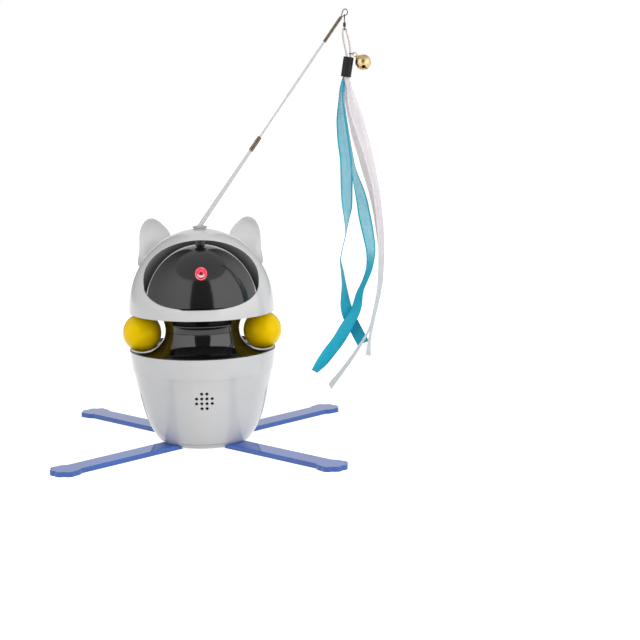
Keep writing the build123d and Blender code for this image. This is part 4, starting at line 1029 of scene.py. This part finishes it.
def organza(name, sheer, edge_colour, tail_colour, clear, fluff):
    """Sheer woven ribbon: threads, dense selvedges and glints."""
    paint = Paint(name)
    across, along = paint.woven()
    warp = (across * (2 * math.pi * threads_across)).sine() * 0.5 + 0.5
    weft = (along * (2 * math.pi * threads_across)).sine() * 0.5 + 0.5
    thread = (warp + weft) * 0.5
    edge = abs(across - 0.5).ramped(0.36, 0.41)
    tail = along.ramped(tail_start, tail_start + 2.5)
    cloud = paint.cloud(3.5 * MM, 3.0, (1, 1, 2.5))
    glint = (0.22 - paint.cells(0.7 * MM)).ramped(0.0, 0.2)
    pale = tuple(min(1, part * 1.12 + 0.04) for part in sheer)
    body = paint.blend((cloud * 0.6 + thread * 0.4).ramped(0.2, 0.8), sheer, pale)
    body = paint.blend(edge * 0.95, body, edge_colour)
    body = paint.blend(tail * 0.92, body, tail_colour)
    body = paint.blend(glint * (0.3 - tail * 0.25), body, (0.95, 0.97, 0.98))
    alpha = (clear + thread * 0.25 + edge * 0.6 + tail * 0.5 + (cloud - 0.5) * 0.25).held(0.2, 1.0)
    return paint.surface(
        base_color=body,
        roughness=0.45 + thread * 0.2,
        alpha=alpha,
        normal=paint.relief(thread, 0.05 * MM),
        specular_ior_level=0.3,
        sheen_weight=fluff,
        sheen_roughness=0.4,
    )


class CATTOY_OT_ribbons(bpy.types.Operator):
    """Make the four organza ribbons of the lure"""

    bl_idname = "cattoy.ribbons"
    bl_label = "Ribbons"

    def execute(self, context):
        sizes = context.scene.cat_toy_sizes
        blue = organza("ribbon_blue", tone(70, 200, 222), chosen("ribbon"), tone(0, 172, 202),
                       clear=0.46, fluff=0.02)
        white = organza("ribbon_white", tone(226, 220, 224), tone(232, 228, 231), tone(196, 204, 208),
                        clear=0.5, fluff=0.3)
        # Each cloth with the depth of its hollow, and each ribbon with the slant of its cut end.
        looks = {"blue": (blue, 0.4 * MM), "white": (white, 0.3 * MM)}
        rows = [
            ("blue", "short", blue_short_route, 0.1),
            ("blue", "long", blue_long_route, 0.0),
            ("white", "short", white_short_route, 0.2),
            ("white", "long", white_long_route, 0.3),
        ]
        loops = []
        for order, (colour, size, route, slant) in enumerate(rows):
            paint, cup = looks[colour]
            name, node = f"{colour}_ribbon_{size}", f"ribbon_{colour}_{size}"
            mesh, length, edges = ribbon_mesh(name, route, order, sizes.ribbon_width, cup, slant)
            if colour == "white":
                loops += picot_places(edges, sizes.picot_pitch)
            made = piece(name, mesh, "lure", paint, f"ribbon_{colour}", node)
            thick = made.modifiers.new("cloth", "SOLIDIFY")
            thick.thickness = sizes.ribbon_thickness
            thick.offset = 0
        thread = moulded("picot_thread", tone(226, 222, 226))
        template = picot_mesh("picot", sizes.picot_radius, picot_thread)
        repeated("white_ribbon_picots", loops, template, thread, "lure", "ribbon_white")
        return {"FINISHED"}


# --- screws
def screw_mesh(name, head, tall, shank, deep, slots, sides):
    """A pan head screw with its drive recess and its thread, in mm: head along +Z, shank along -Z."""
    recess, slot_half_width, slot_reach = tall * 0.55, max(0.22, head * 0.1), head * 0.55
    pitch, thread_share, ring_gap, point_length = 0.9, 0.16, 0.16, 1.6
    steps = int(deep / ring_gap)
    outline = run((shank, -deep), (shank, 0), steps)
    outline += [(head - 0.12, 0.0), (head, 0.1), (head, tall * 0.5), (head - 0.14, tall * 0.82)]
    outline += [(head - 0.4, tall)]
    outline += [(head * share, tall) for share in (0.66, 0.6, 0.55, 0.5, 0.44, 0.36, 0.28, 0.2, 0.12, 0.05)]
    rings = []
    for row, (radius, height) in enumerate(outline):
        ring = []
        for angle in turns(sides):
            here, z = radius, height
            if row <= steps:
                wave = 0.5 - 0.5 * math.sin(2 * math.pi * height / pitch + angle)
                here = radius * (1 - thread_share * wave) * min(1.0, 0.35 + (height + deep) / point_length)
            x, y = here * math.cos(angle), here * math.sin(angle)
            if height == tall:
                arms = (abs(y), abs(x))[:slots]
                inside = max(0.0, min(1.0, (slot_half_width - min(arms)) / 0.12 + 0.5))
                inside *= max(0.0, min(1.0, (slot_reach - here) / 0.15 + 0.5))
                z = height - recess * eased(inside)
            ring.append(Vector((x, y, z)) * MM)
        rings.append(ring)
    return skin_rings(name, rings)


def ring_places(radius, angles, height):
    """Points round the axis, in metres, with a turn that points the screws' heads down."""
    found = []
    for angle in angles:
        turn = math.radians(angle)
        place = Vector((radius * math.cos(turn), radius * math.sin(turn), height)) * MM
        found.append((place, (math.pi, 0, 0)))
    return found


def grid_places(across, along, height):
    """Points of a level grid, in metres, with the screws' heads up."""
    return [(Vector((x, y, height)) * MM, (0, 0, 0)) for x in across for y in along]


class CATTOY_OT_screws(bpy.types.Operator):
    """Make the screws of the base, the head, the motors, the board and the turret"""

    bl_idname = "cattoy.screws"
    bl_label = "Screws"

    def execute(self, context):
        sides = context.scene.cat_toy_sizes.screw_sides
        steel = metal("screw_steel", tone(140, 141, 146), roughness=0.3)
        motor_places = grid_places((-4.5, 4.5), (0,), 122.6) + grid_places((-4.5, 4.5), (18,), 114.6)
        # Screws: places, head radius and height, shank radius and length, slots, body and node.
        rows = [
            ("base_plate_screws", ring_places(25, (0, 90, 180, 270), 2.2), 2.6, 1.7, 1.38, 7.8, 2,
             "base", "base_screws"),
            ("head_joint_screws", ring_places(52, (90, 210, 330), 112.5), 2.2, 1.1, 1.38, 8.4, 2,
             "base", "head_screws"),
            ("gearmotor_screws", motor_places, 1.3, 0.8, 0.68, 3.8, 1, "base", "motor_screws"),
            ("circuit_board_screws", grid_places((-17, 17), (-24, 34), 33.6), 2.2, 1.3, 1.08, 6.4, 2,
             "base", "board_screws"),
            ("turret_joint_screws", ring_places(37, (30, 150, 270), 118.9), 1.9, 1.2, 1.08, 7.1, 2,
             "turret", "turret_screws"),
        ]
        for name, places, head, tall, shank, deep, slots, body, node in rows:
            template = screw_mesh(name + "_one", head, tall, shank, deep, slots, sides)
            repeated(name, places, template, steel, body, "screw_steel", node)
        return {"FINISHED"}


# --- inside
class CATTOY_OT_inside(bpy.types.Operator):
    """Finish the drive, the electronics and the controls"""

    bl_idname = "cattoy.inside"
    bl_label = "Inner pieces"

    def execute(self, context):
        plastic_pieces = [
            ("gear_nylon", tone(226, 220, 204), "turret_pinion", "turret_ring_gear"),
            ("bushing_nylon", tone(232, 228, 216), "wand_bushing"),
            ("holder_plastic", tone(34, 34, 36), "battery_holder", "head_deck"),
            ("cell_wrap", tone(52, 110, 168), "battery_cell"),
            ("button_rubber", tone(150, 152, 156), "power_button"),
            ("switch_plastic", tone(28, 28, 30), "power_switch"),
        ]
        for name, colour, *nodes in plastic_pieces:
            dress(moulded(name, colour), *nodes)
        case = metal("motor_case", tone(176, 176, 178), roughness=0.28, stretch=(1, 1, 5))
        dress(case, "wand_gearmotor", "turret_gearmotor")
        dress(metal("usb_steel", tone(190, 190, 192), stretch=(1, 5, 1)), "usb_c_socket")
        board = Paint("board_laminate")
        weave = board.cells(0.9 * MM, 0.3)
        lanes = board.cloud(2.2 * MM, 1.0, (1, 1, 5))
        body = board.blend((abs(lanes - 0.5) < 0.03) * 0.7, tone(14, 74, 46), tone(40, 120, 76))
        dress(board.skin(body, weave, 0.32, 0.1, 0.01), "main_circuit_board")
        cone = Paint("speaker_paper")
        rings = cone.cells(0.5 * MM) * 0.5 + cone.cloud(3 * MM) * 0.5
        body = cone.blend(rings, tone(14, 14, 15), tone(34, 34, 36))
        dress(cone.skin(body, rings, 0.75, 0.2, 0.04), "speaker_driver")
        return {"FINISHED"}


class CATTOY_PT_panel(bpy.types.Panel):
    """Lists the toy's pieces"""

    bl_idname = "CATTOY_PT_panel"
    bl_label = "Cat laser toy"
    bl_space_type = "VIEW_3D"
    bl_region_type = "UI"
    bl_category = "Cat toy"

    def draw(self, context):
        layout = self.layout
        for group in (context.scene.cat_toy_sizes, context.scene.cat_toy_colours):
            box = layout.box()
            for name in group.__annotations__:
                box.prop(group, name)
        for operator in operators:
            layout.operator(operator.bl_idname)


operators = (
    CATTOY_OT_stage,
    CATTOY_OT_elastic,
    CATTOY_OT_shells,
    CATTOY_OT_neck,
    CATTOY_OT_balls,
    CATTOY_OT_turret,
    CATTOY_OT_laser,
    CATTOY_OT_legs,
    CATTOY_OT_wand,
    CATTOY_OT_sleeve,
    CATTOY_OT_bell,
    CATTOY_OT_ribbons,
    CATTOY_OT_screws,
    CATTOY_OT_inside,
)
classes = (CatToySizes, CatToyColours, *operators, CATTOY_PT_panel)


def register():
    for made in classes:
        bpy.utils.register_class(made)
    bpy.types.Scene.cat_toy_sizes = PointerProperty(type=CatToySizes)
    bpy.types.Scene.cat_toy_colours = PointerProperty(type=CatToyColours)


def unregister():
    del bpy.types.Scene.cat_toy_colours
    del bpy.types.Scene.cat_toy_sizes
    for made in reversed(classes):
        bpy.utils.unregister_class(made)


def main():
    register()
    for operator in operators:
        group, name = operator.bl_idname.split(".")
        getattr(getattr(bpy.ops, group), name)()


if __name__ == "__main__":
    main()
